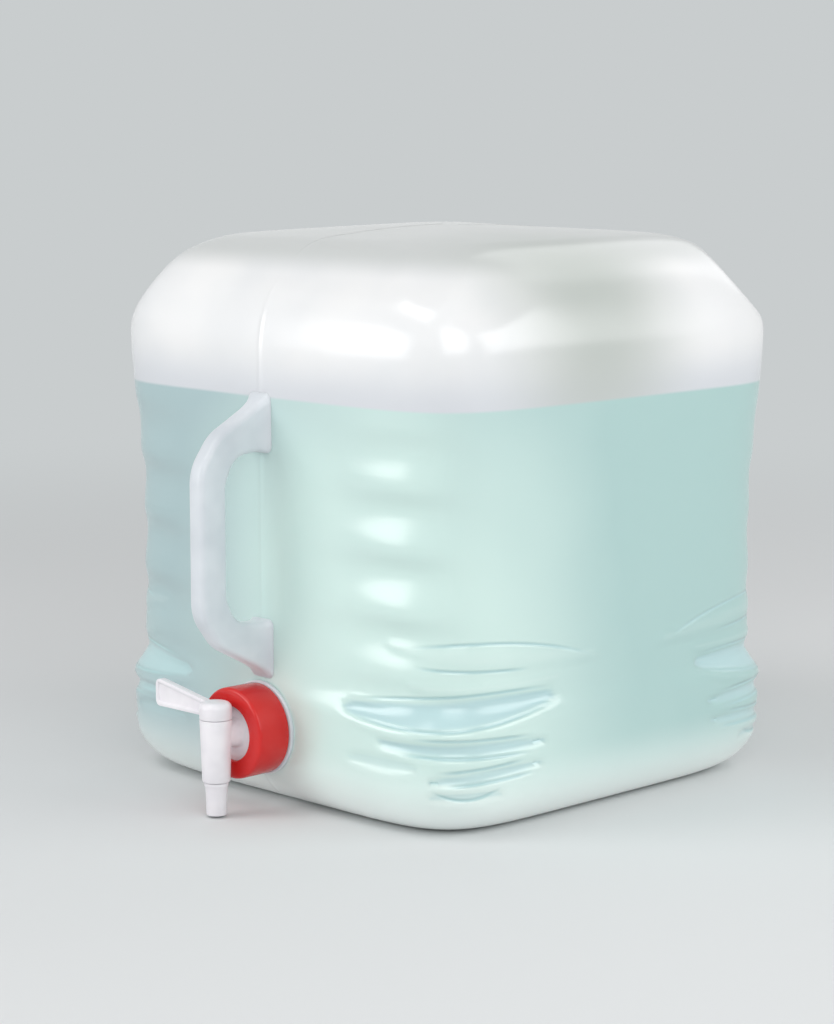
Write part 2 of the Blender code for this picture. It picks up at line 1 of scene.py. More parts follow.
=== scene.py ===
"""Collapsible water carrier, dressed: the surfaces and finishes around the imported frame.

The carrier is one blow moulding of milky polyethylene, a soft cube with a solid handle and a
threaded neck, and a quarter-turn tap that a red screw ring holds on the neck. Sizes are in
metres and in the frame's own coordinates: +Z up, and the tap looks along -Y.
"""

import json
import logging
import math
from collections.abc import Callable, Iterator, Sequence
from contextlib import contextmanager
from dataclasses import dataclass
from enum import Enum
from typing import Any

import bmesh
import bpy
import numpy as np
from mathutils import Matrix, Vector


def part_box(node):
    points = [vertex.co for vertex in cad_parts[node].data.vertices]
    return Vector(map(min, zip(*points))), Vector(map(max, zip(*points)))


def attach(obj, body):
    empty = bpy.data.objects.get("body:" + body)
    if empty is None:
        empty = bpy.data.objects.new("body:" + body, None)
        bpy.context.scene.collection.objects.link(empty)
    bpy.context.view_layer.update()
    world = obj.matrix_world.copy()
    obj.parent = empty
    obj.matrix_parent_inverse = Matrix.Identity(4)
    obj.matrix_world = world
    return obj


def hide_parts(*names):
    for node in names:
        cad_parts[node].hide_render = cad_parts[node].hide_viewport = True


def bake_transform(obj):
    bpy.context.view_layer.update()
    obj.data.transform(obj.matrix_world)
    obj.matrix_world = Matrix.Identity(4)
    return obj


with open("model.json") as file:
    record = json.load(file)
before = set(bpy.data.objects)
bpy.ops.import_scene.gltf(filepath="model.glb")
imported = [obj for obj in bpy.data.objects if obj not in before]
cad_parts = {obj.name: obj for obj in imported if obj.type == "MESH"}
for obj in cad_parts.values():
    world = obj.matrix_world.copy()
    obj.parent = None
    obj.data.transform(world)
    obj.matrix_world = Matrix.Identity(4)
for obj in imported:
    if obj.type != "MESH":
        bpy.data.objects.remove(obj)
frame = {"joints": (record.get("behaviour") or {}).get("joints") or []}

MM = 0.001
FULL_TURN = math.tau
QUARTER_TURN = math.pi / 2
HALF_ROOT = math.sqrt(0.5)
# Points closer than this are one point
WELD = 0.01 * MM
# Too small to see: they keep a division from having nothing to divide by
TINY = 1e-9
SLIGHT = 1e-6
# A rounded corner has so many steps, and one more for each such length of its radius
ARC_STEPS = 3
ARC_STEP = 1.5 * MM
# The skin's own record of how deep each fold is pressed in, in units of three millimetres
FOLD_DEPTH = "fold_depth"
FOLD_UNIT = 3 * MM

log = logging.getLogger("water_carrier")
Object = bpy.types.Object
Material = bpy.types.Material
Span = tuple[float, float]
Point = tuple[float, float, float]


class Body(Enum):
    """Bodies of the frame that the pieces ride on."""

    FRONT = "bag_front"
    REAR = "bag_rear"
    SPIGOT = "spigot"
    CAP = "cap"
    VALVE = "valve"


class Slot(Enum):
    """Material slots of the record."""

    FILM = "milky_film"
    HANDLE = "handle_plastic"
    RED = "red_plastic"
    RUBBER = "washer_rubber"
    WHITE = "white_plastic"


class Round(Enum):
    """How finely a round piece is spun."""

    LARGE = 112
    SMALL = 72


def linear(hex_colour: str) -> tuple[float, float, float, float]:
    """Turn an sRGB hex colour into linear light, by the standard's own curve.

    Args:
        hex_colour: the colour as #RRGGBB.

    Returns:
        Red, green, blue and an alpha of 1.
    """
    channels = []
    for start in (1, 3, 5):
        value = int(hex_colour[start : start + 2], 16) / 255
        channels.append(value / 12.92 if value <= 0.04045 else ((value + 0.055) / 1.055) ** 2.4)
    return (*channels, 1.0)


def smooth(share: np.ndarray) -> np.ndarray:
    """Ease a share from 0 to 1, flat at both ends."""
    clipped = np.clip(share, 0, 1)
    return clipped * clipped * (3 - 2 * clipped)


def bearing(azimuth_deg: float, elevation_deg: float) -> Point:
    """Return the unit vector of a direction, whose azimuth counts from the front to the right."""
    around, up = math.radians(azimuth_deg), math.radians(elevation_deg)
    return (math.sin(around) * math.cos(up), -math.cos(around) * math.cos(up), math.sin(up))


@dataclass(frozen=True)
class Datum:
    """Planes and axes that the pieces are built from, read from the frame."""

    face_y: float
    rear_y: float
    half_width: float
    height: float
    tap_z: float
    barrel_y: float

    @classmethod
    def read(cls) -> "Datum":
        """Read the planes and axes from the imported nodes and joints.

        Returns:
            The datum of this frame.
        """
        joints = {joint["name"]: joint for joint in frame["joints"]}
        wall_low, wall_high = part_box("bag_side_wall")
        return cls(
            face_y=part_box("bag_front_panel")[0].y,
            rear_y=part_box("bag_rear_panel")[1].y,
            half_width=(wall_high.x - wall_low.x) / 2,
            height=wall_high.z,
            tap_z=joints["cap_turn"]["pos_m"][2],
            barrel_y=joints["valve_turn"]["pos_m"][1],
        )


@dataclass(frozen=True)
class Spindle:
    """An axis that round pieces are spun about."""

    origin: Vector
    direction: Vector
    radial: Vector

    def place(self, radius: float, along: float) -> Vector:
        """Return the point at a radius and a distance along the axis."""
        return self.origin + self.direction * along + self.radial * radius


def choose(item: Object) -> None:
    """Select one object alone and make it active."""
    bpy.ops.object.select_all(action="DESELECT")
    item.select_set(True)
    bpy.context.view_layer.objects.active = item


def select_whole() -> None:
    """Select the whole mesh, in edit mode."""
    bpy.ops.mesh.select_all(action="SELECT")


@contextmanager
def editing(item: Object, outward: bool = False) -> Iterator[None]:
    """Work on one mesh in edit mode, with nothing of it selected at first.

    Args:
        item: the mesh object.
        outward: whether all its faces are turned outward at the end.
    """
    choose(item)
    bpy.ops.object.mode_set(mode="EDIT")
    bpy.ops.mesh.select_mode(type="VERT")
    bpy.ops.mesh.select_all(action="DESELECT")
    yield
    if outward:
        select_whole()
        bpy.ops.mesh.normals_make_consistent()
    bpy.ops.object.mode_set(mode="OBJECT")


def pick(kind: str, test: Callable[[Any], bool]) -> None:
    """Select the faces or the edges that pass a test, in edit mode.

    Args:
        kind: FACE or EDGE.
        test: takes a face or an edge, and says whether it is wanted.
    """
    mesh = bpy.context.edit_object.data
    shape = bmesh.from_edit_mesh(mesh)
    bpy.ops.mesh.select_mode(type=kind)
    for part in shape.faces if kind == "FACE" else shape.edges:
        part.select_set(test(part))
    bmesh.update_edit_mesh(mesh)


def modify(item: Object, kind: str, **settings: Any) -> None:
    """Put a modifier on a mesh and apply it.

    Args:
        item: the mesh object.
        kind: the modifier's type.
        settings: the modifier's own properties.
    """
    choose(item)
    modifier = item.modifiers.new(kind.lower(), kind)
    for name, value in settings.items():
        setattr(modifier, name, value)
    bpy.ops.object.modifier_apply(modifier=modifier.name)


def combine(item: Object, other: Object, operation: str) -> None:
    """Cut one closed shape by another (DIFFERENCE) or join them (UNION); the other is used up."""
    modify(item, "BOOLEAN", operation=operation, solver="EXACT", object=other)
    bpy.data.objects.remove(other, do_unlink=True)


def put(name: str, data: Any = None) -> Object:
    """Put a new object into the scene.

    Args:
        name: the object's name.
        data: its lamp or camera, or None for an empty.

    Returns:
        The object.
    """
    item = bpy.data.objects.new(name, data)
    bpy.context.scene.collection.objects.link(item)
    return item


def face_along(item: Object, back: Vector) -> None:
    """Turn an object so that its own Z runs along a direction, as lamps and cameras look down -Z."""
    item.rotation_euler = back.to_track_quat("Z", "Y").to_euler()


def wire(name: str, points: Sequence[Vector]) -> Object:
    """Draw a chain of edges by extruding one vertex from point to point.

    Args:
        name: the object's name.
        points: where the chain goes.

    Returns:
        The wire object, placed at the origin.
    """
    bpy.ops.mesh.primitive_plane_add(size=MM, location=(0, 0, 0))
    item = bpy.context.object
    item.name = name
    with editing(item):
        select_whole()
        bpy.ops.mesh.merge(type="CENTER")
        bpy.ops.transform.translate(value=points[0])
        for here, there in zip(points, points[1:]):
            bpy.ops.mesh.extrude_region_move(TRANSFORM_OT_translate={"value": there - here})
        select_whole()
        bpy.ops.mesh.remove_doubles(threshold=WELD)
    return item


def fillet(corners: Sequence[Point]) -> list[Span]:
    """Round the corners of a closed outline.

    Args:
        corners: each corner's two coordinates and its radius.

    Returns:
        The outline's points, in order, with an arc at each rounded corner.
    """
    points: list[Span] = []
    for index, (first, second, radius) in enumerate(corners):
        if radius == 0:
            points.append((first, second))
            continue
        here = Vector((first, second))
        back = Vector(corners[index - 1][:2]) - here
        ahead = Vector(corners[(index + 1) % len(corners)][:2]) - here
        half = back.angle(ahead) / 2
        reach = min(radius / math.tan(half), back.length / 2, ahead.length / 2)
        back, ahead = back.normalized(), ahead.normalized()
        start = here + back * reach
        end = here + ahead * reach
        centre = here + (back + ahead).normalized() * reach / math.cos(half)
        steps = ARC_STEPS + int(radius / ARC_STEP)
        for step in range(steps + 1):
            spoke = (start - centre).slerp(end - centre, step / steps).normalized()
            point = centre + spoke * (start - centre).length
            points.append((point.x, point.y))
    return points


def spun(name: str, spindle: Spindle, corners: Sequence[Point], fineness: Round) -> Object:
    """Spin a rounded profile into a closed round piece.

    Args:
        name: the object's name.
        spindle: the axis.
        corners: the profile's corners as radius, distance along the axis and rounding.
        fineness: how many steps the full turn has.

    Returns:
        The round piece.
    """
    profile = fillet(corners)
    if all(radius for radius, _ in profile):
        profile.append(profile[0])
    item = wire(name, [spindle.place(radius, along) for radius, along in profile])
    with editing(item, outward=True):
        select_whole()
        bpy.ops.mesh.spin(
            steps=fineness.value, angle=FULL_TURN, center=spindle.origin, axis=spindle.direction
        )
        select_whole()
        bpy.ops.mesh.remove_doubles(threshold=WELD)
    return item


def rod(name: str, spindle: Spindle, radius: float, low: float, high: float) -> Object:
    """Spin a plain round bar to cut a bore with."""
    corners = [(0, low, 0), (radius, low, 0), (radius, high, 0), (0, high, 0)]
    return spun(name, spindle, corners, Round.SMALL)


def slab(name: str, outline: Sequence[Vector], thickness: Vector) -> Object:
    """Fill an outline and extrude it into a plate.

    Args:
        name: the object's name.
        outline: the outline's points on one face of the plate.
        thickness: the way to the other face.

    Returns:
        The plate.
    """
    item = wire(name, [*outline, outline[0]])
    with editing(item, outward=True):
        select_whole()
        bpy.ops.mesh.edge_face_add()
        bpy.ops.mesh.extrude_region_move(TRANSFORM_OT_translate={"value": thickness})
    return item


def hand_over(
    item: Object, finish: "Finish", body: Body | None, slot: Slot, *nodes: str, smooth_deg: float = 32
) -> None:
    """Dress a finished mesh, seat it on its body and hide the nodes that it stands for.

    Args:
        item: the mesh object.
        finish: its finish.
        body: the body that it rides on, or None to leave it on no body.
        slot: the record's material slot; not used.
        nodes: the nodes that it replaces.
        smooth_deg: faces that meet at less than this angle are shaded as one surface.
    """
    choose(item)
    bpy.ops.object.shade_smooth_by_angle(angle=math.radians(smooth_deg))
    item.data.materials.append(finish.build())
    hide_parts(*nodes)
    if body:
        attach(item, body.value)
    log.info("%s: %d faces, stands for %s", item.name, len(item.data.polygons), ", ".join(nodes))


@dataclass(frozen=True)
class Net:
    """The nodes of one material or of the world."""

    tree: Any

    def add(
        self, kind: str, inputs: dict[Any, Any] | None = None, output: int | str = 0, **settings: Any
    ) -> Any:
        """Add one shader node.

        Args:
            kind: the node's type name after ShaderNode.
            inputs: each input's value by its name or number; a socket is linked.
            output: the name or number of the output that is wanted.
            settings: the node's own properties.

        Returns:
            The socket of that output.
        """
        node = self.tree.nodes.new("ShaderNode" + kind)
        for name, value in settings.items():
            setattr(node, name, value)
        self.fill(node, inputs or {})
        return node.outputs[output]

    def fill(self, node: Any, inputs: dict[Any, Any]) -> None:
        """Fill a node's inputs.

        Args:
            node: the node.
            inputs: each input's value by its name or number; a socket is linked.
        """
        for name, value in inputs.items():
            if isinstance(value, bpy.types.NodeSocket):
                self.tree.links.new(value, node.inputs[name])
            else:
                node.inputs[name].default_value = value

    def place(self) -> Any:
        """Return the socket of the coordinates that the patterns are laid in, in metres."""
        return self.add("TexCoord", output="Object")

    def cloud(self, size: float, detail: float = 2.0) -> Any:
        """Add a soft noise whose blobs have a real size, and return its socket."""
        return self.add("TexNoise", {"Vector": self.place(), "Scale": 1 / size, "Detail": detail})

    def ramp(self, value: Any, start: float, end: float) -> Any:
        """Ease a value from 0 at the start to 1 at the end, and return the socket."""
        inputs = {"Value": value, "From Min": start, "From Max": end}
        return self.add("MapRange", inputs, interpolation_type="SMOOTHSTEP")

    def measure(self, operation: str, first: Any, second: Any = (0, 0, 0)) -> Any:
        """Return the socket of a number that is worked out from two vectors."""
        return self.add("VectorMath", {0: first, 1: second}, output="Value", operation=operation)

    def paint(self, colour: Any, *coats: tuple[Any, Any]) -> Any:
        """Lay coats of colour over a first colour.

        Args:
            colour: the first colour, as hex or as a socket.
            coats: each coat's share and its colour, as hex or as a socket.

        Returns:
            The colour socket.
        """
        colour = linear(colour) if isinstance(colour, str) else colour
        for share, coat in coats:
            inputs = {"Factor": share, 6: colour, 7: linear(coat) if isinstance(coat, str) else coat}
            colour = self.add("Mix", inputs, output=2, data_type="RGBA")
        return colour

    def seen_directly(self) -> Any:
        """Return the share of rays that look at the background, straight or by a reflection.

        Returns:
            The socket of the share, 0 for light that falls on the carrier.
        """
        rays = self.add("LightPath").node.outputs
        share = rays["Is Camera Ray"]
        for kind in ("Is Glossy Ray", "Is Transmission Ray"):
            share = self.add("Math", {0: share, 1: rays[kind]}, operation="MAXIMUM")
        return share


@dataclass(frozen=True)
class Finish:
    """A moulded plastic, with the cloudy colour and the fine skin that a mould leaves.

    The mottle is the slow drift of colour where the melt cooled unevenly. The grain is the
    mould's own surface, and the flow is the long soft waviness that bends reflections. The rim
    sheen is the bright edge that a milky plastic has at a glancing angle.
    """

    name: str
    light: str
    dark: str
    mottle: float = 18 * MM
    mottle_ramp: Span = (0.25, 0.75)
    grain: float = 1.2 * MM
    grain_depth: float = 0.02 * MM
    flow: float = 14 * MM
    flow_depth: float = 0.05 * MM
    roughness: Span = (0.29, 0.36)
    ior: float = 1.50
    reflection: float = 0.5
    rim_sheen: float = 0.0
    rim_roughness: float = 0.35
    subsurface: float = 0.15
    bleed: float = 3 * MM

    def build(self) -> Material:
        """Make the material once, and return it each time it is asked for.

        Returns:
            The Blender material.
        """
        found = bpy.data.materials.get(self.name)
        if found:
            return found
        material = bpy.data.materials.new(self.name)
        material.use_nodes = True
        net = Net(material.node_tree)
        inputs = {
            "Base Color": self.colour(net),
            "Roughness": self.sheen(net),
            "Normal": self.skin(net),
            "Metallic": 0.0,
            "IOR": self.ior,
            "Specular IOR Level": self.reflection,
            "Sheen Weight": self.rim_sheen,
            "Sheen Roughness": self.rim_roughness,
            "Subsurface Weight": self.subsurface,
            "Subsurface Radius": (1.0, 1.0, 1.0),
            "Subsurface Scale": self.bleed,
        }
        net.fill(net.tree.nodes["Principled BSDF"], inputs)
        return material

    def colour(self, net: Net) -> Any:
        """Mix the light and the dark shade by the mottle, and return the colour's socket."""
        return net.paint(self.light, (net.ramp(net.cloud(self.mottle), *self.mottle_ramp), self.dark))

    def sheen(self, net: Net) -> Any:
        """Let the roughness drift between its two ends, and return its socket."""
        low, high = self.roughness
        return net.add("MapRange", {"Value": net.cloud(self.mottle / 2), "To Min": low, "To Max": high})

    def skin(self, net: Net) -> Any:
        """Add the mould's grain on top of the slow flow waves.

        Args:
            net: the material's nodes.

        Returns:
            The normal socket.
        """
        flow = {"Height": net.cloud(self.flow, 0), "Distance": self.flow_depth}
        grain = {"Height": net.cloud(self.grain, 1), "Distance": self.grain_depth}
        return net.add("Bump", {**grain, "Normal": net.add("Bump", flow)})


@dataclass(frozen=True)
class Crease:
    """One fine crease where the film has been folded, drawn round each upright corner.

    The shift and the reach say where round the corner it lies, and the bow lifts its two ends.
    """

    height: float
    shift: float
    reach: float
    slant: float = 0.0
    bow: float = 0.0


@dataclass(frozen=True)
class MilkyFilm(Finish):
    """Thin blow-moulded low-density polyethylene, milky, with water standing behind it.

    Above the water line the film is white with a lilac cast, and just over the line it is greyer,
    because the water's own surface shows through it. The lid is painted grey as painted shade, and
    greyer still in a painted pool of shade at its right. Below the line the water tints the film aqua,
    with painted shade that makes it greyer and darker at the left corner, and greener at the right.
    The tint is palest in two painted pools of light, at opposite upright corners, where the light that
    the water gathers comes out, and in a painted light at the base, where light from the floor comes
    through. The pressed folds and the fine creases carry painted shade, and the lips under the folds
    and the raised ovals a painted highlight.
    """

    water_line: float = 210 * MM
    line_blur: float = 1.0 * MM
    haze: str = "#DADDE2"
    haze_rise: float = 26 * MM
    # Painted shade: the lid is painted grey, and greyer still in a pool of painted shade over its right
    # shoulder
    lid: str = "#D0D3D2"
    lid_run: Span = (270 * MM, 282 * MM)
    lid_shade: str = "#BEC4BF"
    lid_shade_pool: Point = (112 * MM, -24 * MM, 255 * MM)
    lid_reach: Span = (12 * MM, 92 * MM)
    # Painted shade: the aqua is greyer and darker towards the left corner than towards the right
    aqua_shaded_left: str = "#AFC7CA"
    aqua_right: str = "#B2D2CF"
    aqua_run: float = 120 * MM
    # Painted light: the aqua pales to this in random clouds and in two painted pools of light, and to
    # the foot's near-white in a painted light near the base
    aqua_pale: str = "#D4ECE6"
    aqua_foot: str = "#F4FBF8"
    foot_top: float = 42 * MM
    # Painted shade in the pressed folds, and a painted highlight on the lips and raised ovals; each run
    # is the fold's depth in its own unit, from where its colour starts to where it is full
    fold_shade: str = "#BFDDDF"
    fold_run: Span = (0.05, 0.75)
    lip_highlight: str = "#EAF5F1"
    lip_highlight_run: Span = (-0.1, -1.0)
    # A crease fades out beyond this share of its reach
    crease_full: float = 0.5
    # Painted shade along the creases, laid on the same lines that the bump presses in
    crease_shade: str = "#B5D6D7"
    crease_width: float = 1.5 * MM
    crease_depth: float = 0.4 * MM
    creases: tuple[Crease, ...] = (
        Crease(96 * MM, 28 * MM, 48 * MM, slant=-0.12, bow=-8 * MM),
        Crease(83.5 * MM, 13 * MM, 30 * MM, slant=-0.06),
        Crease(71.5 * MM, 5 * MM, 50 * MM, slant=0.05, bow=-3 * MM),
        Crease(55.5 * MM, 3 * MM, 55 * MM, slant=0.05, bow=6 * MM),
        Crease(51 * MM, 13 * MM, 32 * MM, slant=-0.03, bow=-1 * MM),
        Crease(42 * MM, 10 * MM, 36 * MM, slant=-0.03),
        Crease(36.5 * MM, 18 * MM, 23 * MM, slant=0.06),
        Crease(29.5 * MM, 22 * MM, 24 * MM, slant=0.05),
        Crease(21.5 * MM, 10 * MM, 18 * MM, bow=5 * MM),
    )
    # Random clouds pale the aqua, and two painted pools of light pale it more at opposite upright
    # corners
    clouds: float = 90 * MM
    clouds_share: float = 0.35
    pool: Point = (78 * MM, -133 * MM, 88 * MM)
    pool_reach: Span = (50 * MM, 162 * MM)
    pool_squeeze: Point = (1, 1, 0.7)

    def colour(self, net: Net) -> Any:
        """Tint the film aqua below the water line and haze it just above, with painted light and shade
        on both.

        Args:
            net: the material's nodes.

        Returns:
            The colour socket.
        """
        # Painted light: random clouds and two pools at opposite upright corners make the aqua paler
        inputs = {0: net.cloud(self.clouds, 1), 1: 2 * self.clouds_share, 2: -self.clouds_share}
        pale = net.add("Math", inputs, operation="MULTIPLY_ADD")
        x, y, z = self.pool
        for middle in (self.pool, (-x, -y, z)):
            inputs = {0: pale, 1: self.pool_share(net, middle, *self.pool_reach)}
            pale = net.add("Math", inputs, operation="ADD")
        height = net.add("SeparateXYZ", {"Vector": net.place()}, output="Z")
        aside = net.measure("DOT_PRODUCT", net.place(), (HALF_ROOT, HALF_ROOT, 0))
        fold = net.add("Attribute", output="Fac", attribute_name=FOLD_DEPTH)
        # Painted shade greys the aqua towards the left corner and in the folds and creases; painted
        # light whitens the foot and the lips
        wet = net.paint(
            self.aqua_shaded_left,
            (net.ramp(aside, -self.aqua_run, self.aqua_run), self.aqua_right),
            (pale, self.aqua_pale),
            (net.ramp(height, self.foot_top, 0), self.aqua_foot),
            (net.ramp(fold, *self.fold_run), self.fold_shade),
            (net.ramp(fold, *self.lip_highlight_run), self.lip_highlight),
            (self.crease_lines(net), self.crease_shade),
        )
        line, blur = self.water_line, self.line_blur
        # Painted shade: the lid is painted grey, and greyer in a pool at its right
        dry = net.paint(
            super().colour(net),
            (net.ramp(height, line + self.haze_rise, line), self.haze),
            (net.ramp(height, *self.lid_run), self.lid),
            (self.pool_share(net, self.lid_shade_pool, *self.lid_reach), self.lid_shade),
        )
        return net.paint(wet, (net.ramp(height, line - blur, line + blur), dry))

    def skin(self, net: Net) -> Any:
        """Press the creases into the film's own skin, and return the normal's socket."""
        inputs = {"Height": self.crease_lines(net), "Normal": super().skin(net)}
        return net.add("Bump", inputs | {"Distance": self.crease_depth}, invert=True)

    def crease_lines(self, net: Net) -> Any:
        """Return how far a place lies in one of the fine creases round each upright corner.

        Args:
            net: the material's nodes.

        Returns:
            The socket of the share, 1 in the middle of a crease.
        """
        found = net.tree.nodes.get("last_crease")
        if found:
            return found.outputs[0]
        folded = net.add("VectorMath", {0: net.place()}, operation="ABSOLUTE")
        along = net.measure("DOT_PRODUCT", folded, (HALF_ROOT, -HALF_ROOT, 0))
        height = net.add("SeparateXYZ", {"Vector": net.place()}, output="Z")
        # A number stands for all three of a vector's coordinates, which lengthens the distance
        width = self.crease_width * math.sqrt(3)
        total = 0.0
        for crease in self.creases:
            aside = net.add("Math", {0: along, 1: crease.shift}, operation="SUBTRACT")
            middle = crease.bow / crease.reach**2
            for term in (crease.slant, crease.height):
                middle = net.add("Math", {0: middle, 1: aside, 2: term}, operation="MULTIPLY_ADD")
            depth = net.ramp(net.measure("DISTANCE", height, middle), width, 0)
            out = net.add("Math", {0: aside}, operation="ABSOLUTE")
            share = net.ramp(out, crease.reach, self.crease_full * crease.reach)
            total = net.add("Math", {0: depth, 1: share, 2: total}, operation="MULTIPLY_ADD")
        total.node.name = "last_crease"
        return total

    def pool_share(self, net: Net, centre: Point, full: float, end: float) -> Any:
        """Return how far a place lies in a painted pool of light or shade, which is half as tall again
        as it is wide.

        Args:
            net: the material's nodes.
            centre: the middle of the pool.
            full: how far from the middle the pool is full.
            end: how far from the middle it ends.

        Returns:
            The socket of the share, 1 in the pool's middle.
        """
        squeeze = self.pool_squeeze
        flat = net.add("VectorMath", {0: net.place(), 1: squeeze}, operation="MULTIPLY")
        middle = tuple(value * scale for value, scale in zip(centre, squeeze))
        return net.ramp(net.measure("DISTANCE", flat, middle), end, full)


@dataclass(frozen=True)
class StudioPaint(Finish):
    """Matt paint on the studio's floor, which runs out of sight into the plain backdrop."""

    backdrop: str = "#C9CDCE"
    run_out: Span = (0.35, 1.5)

    def build(self) -> Material:
        """Make the paint, which takes the backdrop's own colour with distance.

        Returns:
            The Blender material.
        """
        material = super().build()
        net = Net(material.node_tree)
        nodes = net.tree.nodes
        far = net.ramp(net.measure("LENGTH", net.place()), *self.run_out)
        share = net.add("Math", {0: far, 1: net.seen_directly()}, operation="MULTIPLY")
        plain = net.add("Emission", {"Color": linear(self.backdrop)})
        inputs = {0: share, 1: nodes["Principled BSDF"].outputs[0], 2: plain}
        net.fill(nodes["Material Output"], {"Surface": net.add("MixShader", inputs)})
        return material


# Low-density polyethylene, blow moulded: light spreads a few millimetres in it, and its inner
# face shines through its outer one, so it reflects nearly twice what one surface does
FILM = MilkyFilm(
    name="ldpe_film_blow_moulded", light="#F5F5F5", dark="#E6E8EA", mottle=75 * MM, grain=2.0 * MM,
    grain_depth=0.01 * MM, flow=26 * MM, flow_depth=0.2 * MM, roughness=(0.20, 0.26), ior=1.51,
    reflection=0.85, rim_sheen=0.3, subsurface=0.25, bleed=5 * MM,
)
# The same polyethylene, pinched solid in the mould: thicker, so whiter and more opaque
SOLID_PE = Finish(
    name="ldpe_solid_pinch_moulded", light="#DEE3E8", dark="#D0D6DC", mottle=24 * MM,
    roughness=(0.30, 0.40), ior=1.51, rim_sheen=0.3, subsurface=0.25, bleed=4 * MM,
)
# Pigmented polypropylene, injection moulded: a tighter gloss, deep even colour
RED_PP = Finish(
    name="red_polypropylene_injection_moulded", light="#D5211E", dark="#CF1D1C", mottle=14 * MM,
    grain=0.8 * MM, grain_depth=0.01 * MM, flow=6 * MM, flow_depth=0.02 * MM,
    roughness=(0.20, 0.26), ior=1.49, subsurface=0.05, bleed=1 * MM,
)
# White high-density polyethylene, injection moulded: satin, faintly lilac in its shade
WHITE_PE = Finish(
    name="hdpe_white_injection_moulded", light="#F4F1F5", dark="#EAE7EC", mottle=12 * MM,
    grain=0.9 * MM, grain_depth=0.015 * MM, flow=8 * MM, flow_depth=0.03 * MM,
    roughness=(0.30, 0.38), ior=1.54, subsurface=0.12, bleed=2 * MM,
)
# Soft sheet rubber, calendered: matt and faintly speckled
RUBBER = Finish(
    name="nitrile_rubber_calendered", light="#DAD8D2", dark="#CDCBC4", mottle=4 * MM,
    grain=0.5 * MM, grain_depth=0.03 * MM, roughness=(0.62, 0.75), ior=1.52, subsurface=0.0,
)
# Matt studio paint, rolled: no gloss, so that the floor shows only the soft shadow
FLOOR_PAINT = StudioPaint(
    name="studio_floor_rolled_paint", light="#E0E2E3", dark="#DEE0E1", mottle=900 * MM,
    grain=6 * MM, grain_depth=0.05 * MM, flow=400 * MM, flow_depth=0.0, roughness=(0.85, 0.95),
    ior=1.45, subsurface=0.0,
)


@dataclass(frozen=True)
class CornerPocket:
    """One oval fold pocket that wraps round an upright corner of the bag, with a lip under it.

    The arch lifts the pocket's two tips, the slant lifts the tip on the side faces, and a
    negative depth makes a raised oval. The wall, the lip's drop and the lip's width are shares of
    the half height, and the lip is a share of the depth. The two fades are where the lip and the
    pocket run out towards the tips.
    """

    height: float
    half_height: float
    half_width: float
    depth: float
    shift: float = 0.0
    slant: float = 0.0
    arch: float = 0.0
    wall: float = 0.75
    lip: float = 0.25
    lip_drop: float = 1.2
    lip_width: float = 0.25
    lip_fade: float = 0.3
    tip_fade: float = 0.15

    def press(self, height: np.ndarray, along: np.ndarray) -> np.ndarray:
        """Work the pocket into the upright corners.

        Args:
            height: each point's height.
            along: how far each point is round the corner from its middle.

        Returns:
            How far each point is pressed in.
        """
        aside = along - self.shift
        across = np.clip(1 - (aside / self.half_width) ** 2, 0, 1)
        middle = self.height + self.slant * aside + self.arch * (1 - across)
        away = (height - middle) / (self.half_height * np.sqrt(across) + SLIGHT)
        inside = smooth((1 - np.abs(away)) / self.wall)
        lip = np.exp(-(((away + self.lip_drop) / self.lip_width) ** 2)) * smooth(across / self.lip_fade)
        return self.depth * (inside - self.lip * lip) * smooth(across / self.tip_fade)


@dataclass(frozen=True)
class Flat:
    """One flat that the soft shoulder has where it was once folded."""

    azimuth_deg: float
    elevation_deg: float
    depth: float
    softness: float = 1.2 * MM

    def press(self, places: np.ndarray) -> np.ndarray:
        """Press the flat into the shoulder.

        Args:
            places: the skin's points.

        Returns:
            The points, with those beyond the flat pressed back to it.
        """
        outward = np.array(bearing(self.azimuth_deg, self.elevation_deg))
        reach = places @ outward
        beyond = (reach - reach.max() + self.depth) / self.softness
        return places - outward * (self.softness * np.logaddexp(0, beyond))[:, None]


